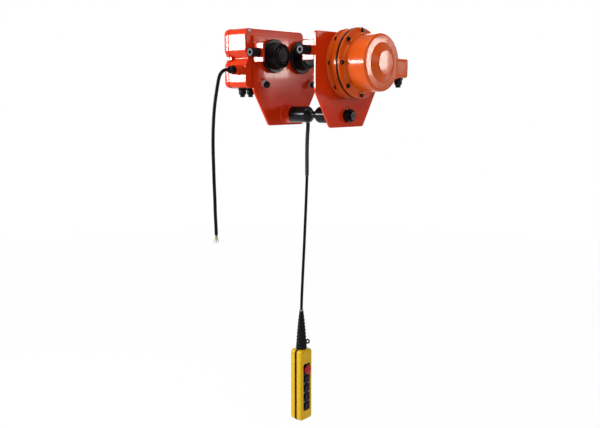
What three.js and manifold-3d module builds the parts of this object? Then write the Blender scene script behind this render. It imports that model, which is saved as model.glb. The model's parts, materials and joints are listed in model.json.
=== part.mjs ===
// A motorised beam trolley with its control box and hanging push-button pendant.
//
// Two side plates hang on four flanged wheels that run on a beam's lower flange.
// A suspension shaft joins the plates below the beam. A geared motor on the right
// plate drives both right wheels, and a control box sits outside the left plate.
//
// Millimetres. X runs across the beam towards the motor, Y along the beam, Z up.
// The origin is midway between the plates and the wheels, at the running height.

import * as THREE from 'three';
import { mergeVertices } from 'three/addons/utils/BufferGeometryUtils.js';
import Module from 'manifold-3d';

const wasm = await Module();
wasm.setup();

// ---------------------------------------------------------------- driving sizes

const GAP = 0.3;                  // between pieces that touch
const RUN_CLEAR = 0.6;            // round a piece that turns or slides

// Side plates
const PLATE_SPREAD = 308;         // between the two inner faces
const PLATE_THICK = 10;
const PLATE_LENGTH = 360;
const PLATE_TOP = 127;
const PLATE_SHOULDER = -84;       // where the straight ends stop and the taper starts
const PLATE_FOOT = -221;
const PLATE_FOOT_LENGTH = 195;
const PLATE_CORNER = 9;

// Suspension shaft, a spool between the plates
const SHAFT_DROP = 177;           // its axis, below the running height
const SHAFT_R = 32;
const WAIST_R = 14.5;
const WAIST_HALF = 32;            // half the length of the waist
const JOURNAL_R = 16;
const BOSS_R = 33.5;
const BOSS_LENGTH = 41;
const NUT_FLATS = 48;
const NUT_HEIGHT = 24;
const NUT_SLOT = 6;
const SHAFT_END = 7;              // thread that stands out of the nut

// Wheels
const RUN_R = 50;                 // tread radius at the middle of its width
const TREAD_TAPER = 2.5;          // how much the radius grows or shrinks from there
const FLANGE_R = 65;
const FLANGE_IN = 8;              // plate to the back of the flange
const FLANGE_THICK = 12;
const TREAD_LENGTH = 35;
const HUB_LIP_R = 18;
const HUB_LIP_LENGTH = 5;
const BEARING_R = 23.5;
const BEARING_LENGTH = 30;
const AXLE_R = 10;
const AXLE_COLLAR_R = 14;

// Wheel drive and reduction gears
const DRIVE_MODULE = 2.5;
const WHEEL_TEETH = 52;
const PINION_TEETH = 17;
const DRIVE_AXIS_DROP = 35;       // motor axis below the wheel axes
const WHEEL_GEAR_WIDTH = 10;
const GEAR_MODULE = 2;
const BIG_TEETH = 45;
const SMALL_TEETH = 16;
const GEAR_WIDTH = 13;
const OUTPUT_GEAR_OUT = 9;        // from the plate to the output gear
const COUNTER_GEAR_OUT = 29;      // from the plate to the countershaft's gear
const BACKLASH = 0.35;
const DRIVE_SHAFT_R = 11;
const MOTOR_SHAFT_R = 8;

// Gearbox and motor, lengths outward from the right plate
const HOUSING_R = 128.5;
const GEARBOX_BODY_R = 121;
const GEARBOX_WALL = 9;
const GEARBOX_FLANGE = 10;
const GEARBOX_LENGTH = 50;
const GEARBOX_SEAM = 25;          // thickness of the flange at the seam
const SHIELD_THICK = 6;
const MOTOR_FLANGE = 13;
const MOTOR_R = 104;
const MOTOR_WALL = 7;
const MOTOR_LENGTH = 92;
const MOTOR_EDGE = 8;             // chamfered edge round the end
const END_RING_INNER_R = 67;
const END_DISC_R = 42;
const END_RISE = 16;              // how far the middle disc stands out
const LUG_COUNT = 8;
const LUG_R = 12;
const LUG_PCD_R = 118;
const ROTOR_R = 34;
const CORE_LENGTH = 60;

// Terminal box on the motor's side
const TERMINAL_LENGTH = 80;
const TERMINAL_HEIGHT = 72;
const TERMINAL_DEPTH = 54;
const TERMINAL_DROP = 17;         // its middle below the motor axis
const TERMINAL_LID = 9;
const TERMINAL_WALL = 4;
const TERMINAL_CORNER = 10;
const TERMINAL_OFFSET = 8;        // from the motor's flange
const TERMINAL_ROOT = 40;         // how far its walls run in before the motor cuts them
const TERMINAL_FLOOR = 8;
const TERMINAL_GLAND_IN = 22;     // from its outer end
const TERMINAL_GLAND_OUT = 31;    // from the motor's wall

// Bumpers at both ends of each plate
const BUMPER_R = 17.5;
const BUMPER_HOLE_R = 6.5;
const BUMPER_HOLE_DEPTH = 20;
const BUMPER_LENGTH = 43;
const BUMPER_IN = 25.5;           // plate's inner face to the bumper's axis
const BUMPER_HEIGHT = 60;
const BRACKET_WIDTH = 54;
const BRACKET_HEIGHT = 70;
const BRACKET_THICK = 8;
const BRACKET_PROUD = 2;          // past the plate's end
const GUSSET_LENGTH = 22;
const GUSSET_THICK = 6;

// Guide studs below the wheels
const STUD_Y = 136;
const STUD_Z = -52;
const STUD_R = 13;
const STUD_HEAD = 24;
const STUD_LENGTH = 34;
const STUD_TILT = 20;             // degrees down from level
const STUD_SHANK_R = 8;
const STUD_BASE_R = 15;
const STUD_BASE = 7;

// Control box
const BOX_FRONT = -213;
const BOX_LENGTH = 328;
const BOX_TOP = 153;
const BOX_HEIGHT = 227;
const BOX_DEPTH = 98;
const BOX_WALL = 5;
const BOX_CORNER = 18;
const COVER_DEPTH = 30;
const COVER_BEVEL = 9;
const NOTCH_DEPTH = 14;
const NOTCH_HALF = 26;
const NOTCH_FLOOR = 3;            // half width of the notch at its floor
const CONTACTOR_WIDTH = 46;
const CONTACTOR_HEIGHT = 80;
const CONTACTOR_DEPTH = 62;

// Glands and what they hold
const GLAND_R = 15;
const GLAND_FLATS = 31;
const GLAND_HEX = 8;
const GLAND_DOME = 20;
const GLAND_PLUG = 7;             // head of a blanking plug below its gland
const GLAND_BORE_R = 7.5;         // hole in the wall behind a gland
const GLAND_BOSS_R = 18;
const GLAND_BOSS_LENGTH = 30;
const SUPPLY_GLAND_X = -200;
const SUPPLY_GLAND_Z = -5;
const OUTLET_X = -215;
const OUTLET_Y = [-185, -142, 75];

// Cords
const SUPPLY_CORD_R = 6.5;
const PENDANT_CORD_R = 6;
const CORD_HOLE_R = 14;
const CORD_HOLE_Y = 75;
const CORD_HOLE_Z = -187;

// Pendant
const PENDANT_X = -107;
const PENDANT_Y = 40;
const PENDANT_TOP = -1174;
const PENDANT_HEIGHT = 314;
const PENDANT_WIDTH = 72;
const PENDANT_DEPTH = 64;
const PENDANT_WALL = 3;
const PENDANT_CORNER = 13;
const PENDANT_SEAM = 6;
const BOOT_LENGTH = 168;
const BOOT_PROFILE = [            // radius and height, bellied above the collar
  [23, 0], [23, 18], [21.5, 42], [19, 78], [15, 122], [9.5, 168],
];
const PANEL_MARGIN = 15;          // from the pendant's sides to the button panel
const PANEL_DEPTH = 4;
const PANEL_END = 7;              // past the outermost buttons
const PANEL_CORNER = 8;
const BUTTON_R = 13;
const BUTTON_PITCH = 41;
const BUTTON_PROUD = 6;
const BUTTON_TRAVEL = 4;
const BUTTON_LIP = 1.5;
const BUTTON_LIP_THICK = 5;
const FIRST_BUTTON_DROP = 128;    // pendant's top to the first button
const STOP_DROP = 86;
const STOP_R = 19;
const STOP_STEM_R = 8;
const STOP_CAP = 9;
const STOP_TRAVEL = 5;

const ROUND = 24;                 // sides of a middling round
const LARGE_ROUND = 32;
const SMALL_ROUND = 12;
const BUMPER_SIDES = 16;

// ---------------------------------------------------------------- derived places

const INNER = PLATE_SPREAD / 2;
const OUTER = INNER + PLATE_THICK;
const WHEEL_Z = RUN_R;
const MESH_DISTANCE = DRIVE_MODULE * (WHEEL_TEETH + PINION_TEETH) / 2;
const WHEEL_Y = Math.sqrt(MESH_DISTANCE ** 2 - DRIVE_AXIS_DROP ** 2);
const DRIVE_Z = WHEEL_Z - DRIVE_AXIS_DROP;
const GEAR_DISTANCE = GEAR_MODULE * (BIG_TEETH + SMALL_TEETH) / 2;
const SHIELD_X = OUTER + GAP + GEARBOX_LENGTH + GAP;
const MOTOR_X = SHIELD_X + SHIELD_THICK + GAP;
const BOX_BACK = -OUTER - GAP;
const SEAM_X = BOX_BACK - BOX_DEPTH;
const BOX_REAR = BOX_FRONT + BOX_LENGTH;
const BOX_FOOT = BOX_TOP - BOX_HEIGHT;
const BOX_MIDDLE = (BOX_TOP + BOX_FOOT) / 2;
const GLAND_LENGTH = GLAND_HEX + GLAND_DOME;

// ---------------------------------------------------------------- finishes

const finish = (color, roughness, metalness) => (
  new THREE.MeshStandardMaterial({ color, roughness, metalness }));
const redEnamel = finish(0xb02a0a, 0.3, 0);
const orangeEnamel = finish(0xd0420a, 0.28, 0);
const blackSteel = finish(0x1b1b1d, 0.35, 0.6);
const brightSteel = finish(0x9a9c9e, 0.35, 1);
const copper = finish(0x9a5a32, 0.45, 1);
const blackRubber = finish(0x17171a, 0.6, 0);
const blackPlastic = finish(0x141416, 0.45, 0);
const yellowPlastic = finish(0xf0c400, 0.4, 0);
const redPlastic = finish(0xc01820, 0.35, 0);
const greyPlastic = finish(0x8f9296, 0.5, 0);

// ---------------------------------------------------------------- solids

// Turns a closed geometry into a solid with its shared vertices merged and its faces outward.
function solidOf(geometry) {
  const bare = geometry.index ? geometry.toNonIndexed() : geometry.clone();
  bare.deleteAttribute('normal');
  bare.deleteAttribute('uv');
  const merged = mergeVertices(bare, 1e-4);
  const corners = merged.attributes.position;
  const at = (vertex) => new THREE.Vector3().fromBufferAttribute(corners, vertex);
  const triangles = [];
  let volume = 0;
  for (let i = 0; i < merged.index.count; i += 3) {
    const [p, q, r] = [0, 1, 2].map((k) => merged.index.getX(i + k));
    if (p !== q && q !== r && r !== p) {
      triangles.push([p, q, r]);
      volume += at(p).dot(at(q).cross(at(r)));
    }
  }
  const outward = volume < 0 ? triangles.map(([p, q, r]) => [p, r, q]) : triangles;
  return new wasm.Manifold(new wasm.Mesh({
    numProp: 3,
    vertProperties: Float32Array.from(corners.array),
    triVerts: Uint32Array.from(outward.flat()),
  }));
}

function joined(first, ...others) {
  return others.reduce((whole, piece) => whole.add(piece), first);
}

function cut(first, ...tools) {
  return tools.reduce((whole, tool) => whole.subtract(tool), first);
}

// A named mesh from a solid.
function part(name, solid, material) {
  const { vertProperties, triVerts } = solid.getMesh();
  const geometry = new THREE.BufferGeometry();
  geometry.setAttribute('position', new THREE.BufferAttribute(vertProperties, 3));
  geometry.setIndex(new THREE.BufferAttribute(triVerts, 1));
  geometry.computeVertexNormals();
  const mesh = new THREE.Mesh(geometry, material);
  mesh.name = name;
  return mesh;
}

function block([x0, x1], [y0, y1], [z0, z1]) {
  const geometry = new THREE.BoxGeometry(x1 - x0, y1 - y0, z1 - z0);
  geometry.translate((x0 + x1) / 2, (y0 + y1) / 2, (z0 + z1) / 2);
  return solidOf(geometry);
}

// Puts a shape drawn along local +Z so that it runs along the named axis.
const basis = (x, y, z) => new THREE.Matrix4().makeBasis(
  new THREE.Vector3(...x), new THREE.Vector3(...y), new THREE.Vector3(...z));
const TURN = {
  X: basis([0, 1, 0], [0, 0, 1], [1, 0, 0]),
  Y: basis([0, 0, 1], [1, 0, 0], [0, 1, 0]),
  Z: basis([1, 0, 0], [0, 1, 0], [0, 0, 1]),
};

// Extrudes an outline of [a, b] points: (Y, Z) along X, (Z, X) along Y or (X, Y) along Z.
function prism(axis, points, from, length) {
  const shape = new THREE.Shape(points.map(([a, b]) => new THREE.Vector2(a, b)));
  const geometry = new THREE.ExtrudeGeometry(shape, { depth: length, bevelEnabled: false });
  geometry.translate(0, 0, from);
  return solidOf(geometry.applyMatrix4(TURN[axis]));
}

// Turns a profile of [radius, station] points round an axis; it starts and ends on the axis
// or is closed by its first point.
function turned(axis, profile, sides = ROUND) {
  const onAxis = profile[0][0] === 0 && profile.at(-1)[0] === 0;
  const loop = onAxis ? profile : [...profile, profile[0]];
  const geometry = new THREE.LatheGeometry(loop.map(([r, s]) => new THREE.Vector2(r, s)), sides);
  geometry.rotateX(Math.PI / 2);
  return solidOf(geometry.applyMatrix4(TURN[axis]));
}

function rod(axis, radius, from, length, sides = ROUND) {
  return turned(axis, [[0, from], [radius, from], [radius, from + length], [0, from + length]], sides);
}

function ring(axis, inner, outer, from, length, sides = ROUND) {
  return turned(axis, [[inner, from], [outer, from], [outer, from + length], [inner, from + length]], sides);
}

function hexagon(flats) {
  const corner = flats / Math.sqrt(3);
  const angles = Array.from({ length: 6 }, (_, k) => k * Math.PI / 3);
  return angles.map((angle) => [corner * Math.cos(angle), corner * Math.sin(angle)]);
}

// A rectangle of half sizes a and b about (u, v), each corner an arc.
function roundedRectangle(u, v, a, b, radius, steps = 3) {
  const points = [];
  [[1, 1], [-1, 1], [-1, -1], [1, -1]].forEach(([sa, sb], quarter) => {
    for (let k = 0; k <= steps; k += 1) {
      const angle = (quarter + k / steps) * Math.PI / 2;
      points.push([
        u + sa * (a - radius) + radius * Math.cos(angle),
        v + sb * (b - radius) + radius * Math.sin(angle),
      ]);
    }
  });
  return points;
}

// Replaces each corner of an outline by a short curve that starts a radius's reach from it.
function softened(points, radius, steps = 3) {
  const rounded = [];
  points.forEach((point, k) => {
    const here = new THREE.Vector2(...point);
    const back = new THREE.Vector2(...points.at(k - 1)).sub(here).normalize();
    const on = new THREE.Vector2(...points[(k + 1) % points.length]).sub(here).normalize();
    const reach = radius / Math.tan(Math.acos(back.dot(on)) / 2);
    const start = back.multiplyScalar(reach).add(here);
    const end = on.multiplyScalar(reach).add(here);
    const curve = new THREE.QuadraticBezierCurve(start, here, end);
    curve.getPoints(steps).forEach((p) => rounded.push([p.x, p.y]));
  });
  return rounded;
}

// A tube of even section along a smooth curve through the points.
function tube(points, radius, steps, sides) {
  const path = new THREE.CatmullRomCurve3(points.map((p) => new THREE.Vector3(...p)), false, 'centripetal');
  const section = new THREE.Shape(Array.from({ length: sides }, (_, k) => {
    const angle = (k + 0.5) / sides * 2 * Math.PI;
    return new THREE.Vector2(radius * Math.cos(angle), radius * Math.sin(angle));
  }));
  return solidOf(new THREE.ExtrudeGeometry(section, { steps, extrudePath: path, bevelEnabled: false }));
}

// ---------------------------------------------------------------- gears

const PRESSURE = 20 * Math.PI / 180;
const ADDENDUM = 0.85;            // in modules, short enough to clear small pinions
const DEDENDUM = 1.25;
const involute = (angle) => Math.tan(angle) - angle;

// Outline of a spur gear with one tooth centred at the given angle.
// Each flank is the straight chord of its involute, from the root to the tip.
function gearOutline(teeth, module, toothAngle) {
  const pitch = teeth * module / 2;
  const base = pitch * Math.cos(PRESSURE);
  const root = pitch - DEDENDUM * module;
  const tip = pitch + ADDENDUM * module;
  const half = Math.PI / (2 * teeth) - BACKLASH / (2 * pitch);
  const halfAt = (radius) => half + involute(PRESSURE) - involute(Math.acos(base / Math.max(radius, base)));
  const points = [];
  for (let k = 0; k < teeth; k += 1) {
    const middle = toothAngle + k * 2 * Math.PI / teeth;
    [[root, -1], [tip, -1], [tip, 1], [root, 1]].forEach(([radius, side]) => {
      const angle = middle + side * halfAt(radius);
      points.push([radius * Math.cos(angle), radius * Math.sin(angle)]);
    });
  }
  return points;
}

// The tooth angle of a gear that meshes with another, which sees it at the line angle.
function meshAngle(otherTeeth, otherToothAngle, lineAngle, teeth) {
  const lead = otherToothAngle - lineAngle;
  return lineAngle + Math.PI - lead * otherTeeth / teeth + Math.PI / teeth;
}

function gear(teeth, module, toothAngle, boreRadius, from, width) {
  return cut(
    prism('X', gearOutline(teeth, module, toothAngle), from, width),
    rod('X', boreRadius, from - 1, width + 2),
  );
}

// ---------------------------------------------------------------- side plates

// A bumper's backing pad and its gusset, drawn for the left plate.
function bumperBracket(end) {
  const face = end * (PLATE_LENGTH / 2 + BRACKET_PROUD);
  const back = face - end * BRACKET_THICK;
  const inward = -INNER + BUMPER_IN + BRACKET_WIDTH / 2;
  const pad = block(
    [-INNER - 3, inward],
    [Math.min(face, back), Math.max(face, back)],
    [BUMPER_HEIGHT - BRACKET_HEIGHT / 2, BUMPER_HEIGHT + BRACKET_HEIGHT / 2],
  );
  const gusset = prism('Z', [
    [-INNER - 1, back + end], [inward - 4, back + end], [inward - 4, back],
    [-INNER, back - end * GUSSET_LENGTH], [-INNER - 1, back - end * GUSSET_LENGTH],
  ], BUMPER_HEIGHT - GUSSET_THICK / 2, GUSSET_THICK);
  return joined(pad, gusset);
}

// The weldment drawn as the left one: plate, shaft boss and two bumper brackets.
function sidePlate() {
  const half = PLATE_LENGTH / 2;
  const foot = PLATE_FOOT_LENGTH / 2;
  const outline = softened([
    [-foot, PLATE_FOOT], [foot, PLATE_FOOT], [half, PLATE_SHOULDER],
    [half, PLATE_TOP], [-half, PLATE_TOP], [-half, PLATE_SHOULDER],
  ], PLATE_CORNER);
  const plate = prism('X', outline, -OUTER, PLATE_THICK);
  const boss = rod('X', BOSS_R, -INNER - 1, BOSS_LENGTH + 1).translate(0, 0, -SHAFT_DROP);
  const axleHoles = [-1, 1].map((end) => (
    rod('X', AXLE_R + GAP, -OUTER - 1, PLATE_THICK + 2, SMALL_ROUND).translate(0, end * WHEEL_Y, WHEEL_Z)));
  const shaftHole = rod('X', JOURNAL_R + GAP, -OUTER - 1, PLATE_THICK + BOSS_LENGTH + 2)
    .translate(0, 0, -SHAFT_DROP);
  return cut(joined(plate, boss, bumperBracket(-1), bumperBracket(1)), shaftHole, ...axleHoles);
}

function sidePlates() {
  const cordHole = rod('X', CORD_HOLE_R, -OUTER - 1, PLATE_THICK + 2, SMALL_ROUND)
    .translate(0, CORD_HOLE_Y, CORD_HOLE_Z);
  const pinionHole = rod('X', DRIVE_SHAFT_R + RUN_CLEAR, INNER - 1, PLATE_THICK + 2).translate(0, 0, DRIVE_Z);
  const counterHole = rod('X', MOTOR_SHAFT_R + RUN_CLEAR, INNER - 1, PLATE_THICK + 2, SMALL_ROUND)
    .translate(0, 0, DRIVE_Z - GEAR_DISTANCE);
  return [
    part('left_side_plate', cut(sidePlate(), cordHole), redEnamel),
    part('right_side_plate', cut(sidePlate().rotate(0, 0, 180), pinionHole, counterHole), redEnamel),
  ];
}

// ---------------------------------------------------------------- suspension shaft

function castleNut(side) {
  const from = side > 0 ? OUTER + GAP : -OUTER - GAP - NUT_HEIGHT;
  const slotX = side > 0 ? [from + NUT_HEIGHT - 7, from + NUT_HEIGHT + 1] : [from - 1, from + 7];
  const slots = [0, 60, 120].map((turn) => (
    block(slotX, [-NUT_FLATS, NUT_FLATS], [-NUT_SLOT / 2, NUT_SLOT / 2]).rotate(turn, 0, 0)));
  const thread = rod('X', JOURNAL_R + GAP, from - 1, NUT_HEIGHT + 2);
  return cut(prism('X', hexagon(NUT_FLATS), from, NUT_HEIGHT), thread, ...slots).translate(0, 0, -SHAFT_DROP);
}

function suspensionShaft() {
  const shoulder = INNER - BOSS_LENGTH - GAP;
  const end = OUTER + GAP + NUT_HEIGHT + SHAFT_END;
  const swell = SHAFT_R - WAIST_R;
  const right = [
    [WAIST_R, 0], [WAIST_R + 0.15 * swell, WAIST_HALF * 0.3], [SHAFT_R - 0.15 * swell, WAIST_HALF * 0.85],
    [SHAFT_R, WAIST_HALF], [SHAFT_R, shoulder], [JOURNAL_R, shoulder], [JOURNAL_R, end - 2],
    [JOURNAL_R - 2, end], [0, end],
  ];
  const left = right.slice(1).reverse().map(([r, s]) => [r, -s]);
  return [
    part('suspension_shaft', turned('X', [...left, ...right]).translate(0, 0, -SHAFT_DROP), blackSteel),
    part('left_shaft_nut', castleNut(-1), blackSteel),
    part('right_shaft_nut', castleNut(1), blackSteel),
  ];
}

// ---------------------------------------------------------------- wheels

// Stations run inward from the plate's inner face, along +X for the left side.
const TREAD_FROM = FLANGE_IN + FLANGE_THICK;
const WHEEL_END = TREAD_FROM + TREAD_LENGTH;
const BEARING_FROM = FLANGE_IN + HUB_LIP_LENGTH + GAP;

function wheelBody() {
  return turned('X', [
    [HUB_LIP_R, FLANGE_IN], [FLANGE_R, FLANGE_IN], [FLANGE_R, TREAD_FROM - 3],
    [FLANGE_R - 3, TREAD_FROM], [RUN_R + TREAD_TAPER, TREAD_FROM],
    [RUN_R - TREAD_TAPER, WHEEL_END - 4], [RUN_R - TREAD_TAPER - 4, WHEEL_END],
    [BEARING_R + 8, WHEEL_END], [BEARING_R + 6, WHEEL_END + 3],
    [BEARING_R + GAP, WHEEL_END + 3], [BEARING_R + GAP, FLANGE_IN + HUB_LIP_LENGTH],
    [HUB_LIP_R, FLANGE_IN + HUB_LIP_LENGTH],
  ]);
}

// The driven wheel: the same body with gear teeth cut in the back of its flange.
function gearedWheelBody(toothAngle) {
  const rim = cut(
    prism('X', gearOutline(WHEEL_TEETH, DRIVE_MODULE, toothAngle), FLANGE_IN, WHEEL_GEAR_WIDTH),
    rod('X', RUN_R, FLANGE_IN - 1, WHEEL_GEAR_WIDTH + 2),
  );
  const rootR = DRIVE_MODULE * (WHEEL_TEETH / 2 - DEDENDUM);
  const turnedDown = ring('X', rootR - 1, FLANGE_R + 5, FLANGE_IN - 1, WHEEL_GEAR_WIDTH + 1);
  return joined(cut(wheelBody(), turnedDown), rim);
}

function axle() {
  const end = BEARING_FROM + BEARING_LENGTH + 3;
  return turned('X', [
    [0, -PLATE_THICK], [AXLE_R, -PLATE_THICK], [AXLE_R, GAP], [AXLE_COLLAR_R, GAP],
    [AXLE_COLLAR_R, BEARING_FROM - GAP], [AXLE_R, BEARING_FROM - GAP], [AXLE_R, end - 1],
    [AXLE_R - 1, end], [0, end],
  ], SMALL_ROUND);
}

function bearing() {
  return ring('X', AXLE_R + GAP, BEARING_R - RUN_CLEAR, BEARING_FROM, BEARING_LENGTH, SMALL_ROUND);
}

// Angles in the YZ plane, from +Y towards +Z.
const FRONT_LINE = Math.atan2(-DRIVE_AXIS_DROP, WHEEL_Y);
const REAR_LINE = Math.atan2(DRIVE_AXIS_DROP, WHEEL_Y);
const PINION_TOOTH = meshAngle(WHEEL_TEETH, FRONT_LINE, FRONT_LINE, PINION_TEETH);
const REAR_TOOTH = meshAngle(PINION_TEETH, PINION_TOOTH, REAR_LINE, WHEEL_TEETH);

function wheels() {
  const meshes = [];
  [['front', -WHEEL_Y, FRONT_LINE], ['rear', WHEEL_Y, REAR_TOOTH]].forEach(([end, y, tooth]) => {
    const onLeft = (solid) => solid.translate(-INNER, y, WHEEL_Z);
    const onRight = (solid) => solid.scale([-1, 1, 1]).translate(INNER, y, WHEEL_Z);
    meshes.push(
      part(`left_${end}_wheel`, onLeft(wheelBody()), blackSteel),
      part(`left_${end}_axle`, onLeft(axle()), brightSteel),
      part(`left_${end}_bearing`, onLeft(bearing()), brightSteel),
      part(`right_${end}_wheel`, onRight(gearedWheelBody(tooth)), blackSteel),
      part(`right_${end}_axle`, onRight(axle()), brightSteel),
      part(`right_${end}_bearing`, onRight(bearing()), brightSteel),
    );
  });
  return meshes;
}

// ---------------------------------------------------------------- drive train

const OUTPUT_X = OUTER + OUTPUT_GEAR_OUT;
const COUNTER_X = OUTER + COUNTER_GEAR_OUT;
const CORE_X = MOTOR_X + MOTOR_FLANGE + 6;
const DOWN = -Math.PI / 2;

function driveTrain() {
  const onMotorAxis = (solid) => solid.translate(0, 0, DRIVE_Z);
  const onCounterAxis = (solid) => solid.translate(0, 0, DRIVE_Z - GEAR_DISTANCE);
  const pinionX = INNER - FLANGE_IN - WHEEL_GEAR_WIDTH + RUN_CLEAR;
  const pinion = joined(
    prism('X', gearOutline(PINION_TEETH, DRIVE_MODULE, PINION_TOOTH), pinionX, WHEEL_GEAR_WIDTH + 1),
    rod('X', DRIVE_SHAFT_R, pinionX - 3, OUTPUT_X + GEAR_WIDTH + 2 - pinionX + 3),
  );
  const smallTooth = meshAngle(BIG_TEETH, DOWN, DOWN, SMALL_TEETH);
  const motorTooth = meshAngle(BIG_TEETH, -DOWN, -DOWN, SMALL_TEETH);
  const counterFrom = INNER + 2;
  const countershaft = joined(
    prism('X', gearOutline(SMALL_TEETH, GEAR_MODULE, smallTooth), OUTPUT_X - 1, GEAR_WIDTH + 3),
    rod('X', MOTOR_SHAFT_R, counterFrom, SHIELD_X + SHIELD_THICK - 2 - counterFrom, SMALL_ROUND),
  );
  const motorShaft = joined(
    prism('X', gearOutline(SMALL_TEETH, GEAR_MODULE, motorTooth), COUNTER_X - 1, GEAR_WIDTH + 2),
    rod('X', MOTOR_SHAFT_R, COUNTER_X - 1, CORE_X + CORE_LENGTH + 10 - COUNTER_X, SMALL_ROUND),
  );
  const outputGear = gear(BIG_TEETH, GEAR_MODULE, DOWN, DRIVE_SHAFT_R + GAP, OUTPUT_X, GEAR_WIDTH);
  const counterGear = gear(BIG_TEETH, GEAR_MODULE, -DOWN, MOTOR_SHAFT_R + GAP, COUNTER_X, GEAR_WIDTH);
  const rotor = ring('X', MOTOR_SHAFT_R + GAP, ROTOR_R, CORE_X, CORE_LENGTH);
  const stator = ring('X', ROTOR_R + 1, MOTOR_R - MOTOR_WALL - GAP, CORE_X, CORE_LENGTH, LARGE_ROUND);
  return [
    part('drive_pinion', onMotorAxis(pinion), brightSteel),
    part('output_gear', onMotorAxis(outputGear), brightSteel),
    part('countershaft', onCounterAxis(countershaft), brightSteel),
    part('countershaft_gear', onCounterAxis(counterGear), brightSteel),
    part('motor_shaft', onMotorAxis(motorShaft), brightSteel),
    part('rotor_core', onMotorAxis(rotor), brightSteel),
    part('stator_core', onMotorAxis(stator), copper),
  ];
}

// ---------------------------------------------------------------- gearbox and motor

function gearboxAndMotor() {
  const from = OUTER + GAP;
  const seam = from + GEARBOX_LENGTH - GEARBOX_SEAM;
  const gearboxInner = GEARBOX_BODY_R - GEARBOX_WALL;
  const gearbox = turned('X', [
    [gearboxInner, from], [HOUSING_R, from], [HOUSING_R, from + GEARBOX_FLANGE - 2],
    [HOUSING_R - 2, from + GEARBOX_FLANGE], [GEARBOX_BODY_R, from + GEARBOX_FLANGE],
    [GEARBOX_BODY_R, seam], [HOUSING_R, seam + 3],
    [HOUSING_R, from + GEARBOX_LENGTH], [gearboxInner, from + GEARBOX_LENGTH],
  ], LARGE_ROUND);
  const shaftHole = rod('X', MOTOR_SHAFT_R + RUN_CLEAR, SHIELD_X - 1, SHIELD_THICK + 2, SMALL_ROUND);
  const shield = cut(
    rod('X', HOUSING_R, SHIELD_X, SHIELD_THICK, LARGE_ROUND),
    shaftHole, shaftHole.translate(0, 0, -GEAR_DISTANCE));

  const flangeEnd = MOTOR_X + MOTOR_FLANGE;
  const end = flangeEnd + MOTOR_LENGTH;
  const inner = MOTOR_R - MOTOR_WALL;
  const shell = turned('X', [
    [inner, MOTOR_X], [HOUSING_R, MOTOR_X], [HOUSING_R, flangeEnd - 9], [MOTOR_R + 10, flangeEnd - 4],
    [MOTOR_R, flangeEnd], [MOTOR_R, end - MOTOR_EDGE], [MOTOR_R - MOTOR_EDGE, end],
    [END_RING_INNER_R, end], [END_DISC_R, end + END_RISE], [0, end + END_RISE],
    [0, end + END_RISE - MOTOR_WALL], [END_DISC_R - 4, end + END_RISE - MOTOR_WALL],
    [END_RING_INNER_R - 4, end - MOTOR_WALL], [inner, end - MOTOR_WALL],
  ], LARGE_ROUND);
  const lug = rod('X', LUG_R, MOTOR_X, MOTOR_FLANGE - 2, SMALL_ROUND).translate(0, LUG_PCD_R, 0);
  const lugs = Array.from({ length: LUG_COUNT }, (_, k) => lug.rotate(k * 360 / LUG_COUNT, 0, 0));
  const place = (solid) => solid.translate(0, 0, DRIVE_Z);
  return [
    part('gearbox_housing', place(gearbox), orangeEnamel),
    part('motor_shield', place(shield), blackSteel),
    part('motor_housing', place(joined(shell, ...lugs)), orangeEnamel),
  ];
}

function terminalBox() {
  const from = MOTOR_X + MOTOR_FLANGE + TERMINAL_OFFSET;
  const end = from + TERMINAL_LENGTH;
  const middle = DRIVE_Z - TERMINAL_DROP;
  const foot = middle - TERMINAL_HEIGHT / 2;
  const lidY = MOTOR_R + TERMINAL_DEPTH;
  const outline = (inset) => roundedRectangle(
    middle, (from + end) / 2, TERMINAL_HEIGHT / 2 - inset, TERMINAL_LENGTH / 2 - inset,
    TERMINAL_CORNER - inset);
  const glandX = end - TERMINAL_GLAND_IN;
  const glandY = MOTOR_R + TERMINAL_GLAND_OUT;
  const body = cut(
    prism('Y', outline(0), MOTOR_R - TERMINAL_ROOT, lidY - MOTOR_R + TERMINAL_ROOT),
    rod('X', MOTOR_R + GAP, from - 1, TERMINAL_LENGTH + 2, LARGE_ROUND).translate(0, 0, DRIVE_Z),
    prism('Y', outline(TERMINAL_WALL), MOTOR_R + TERMINAL_FLOOR, TERMINAL_DEPTH),
    rod('Z', GLAND_BORE_R, foot - 1, TERMINAL_WALL + 2, SMALL_ROUND).translate(glandX, glandY, 0),
  );
  return [
    part('terminal_box', body, orangeEnamel),
    part('terminal_box_lid', prism('Y', outline(0), lidY + GAP, TERMINAL_LID), orangeEnamel),
    part('terminal_gland', pluggedGland().translate(glandX, glandY, foot - GAP), blackPlastic),
  ];
}

// ---------------------------------------------------------------- bumpers and studs

function bumpers() {
  const face = PLATE_LENGTH / 2 + BRACKET_PROUD + GAP;
  const end = face + BUMPER_LENGTH;
  const rear = turned('Y', [
    [0, face], [BUMPER_R, face], [BUMPER_R, end - 2], [BUMPER_R - 2, end],
    [BUMPER_HOLE_R, end], [BUMPER_HOLE_R, end - BUMPER_HOLE_DEPTH], [0, end - BUMPER_HOLE_DEPTH],
  ], BUMPER_SIDES);
  const front = rear.rotate(0, 0, 180);
  const x = INNER - BUMPER_IN;
  return [['left', -x], ['right', x]].flatMap(([side, sideX]) => [
    part(`${side}_front_bumper`, front.translate(sideX, 0, BUMPER_HEIGHT), blackRubber),
    part(`${side}_rear_bumper`, rear.translate(sideX, 0, BUMPER_HEIGHT), blackRubber),
  ]);
}

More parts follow.
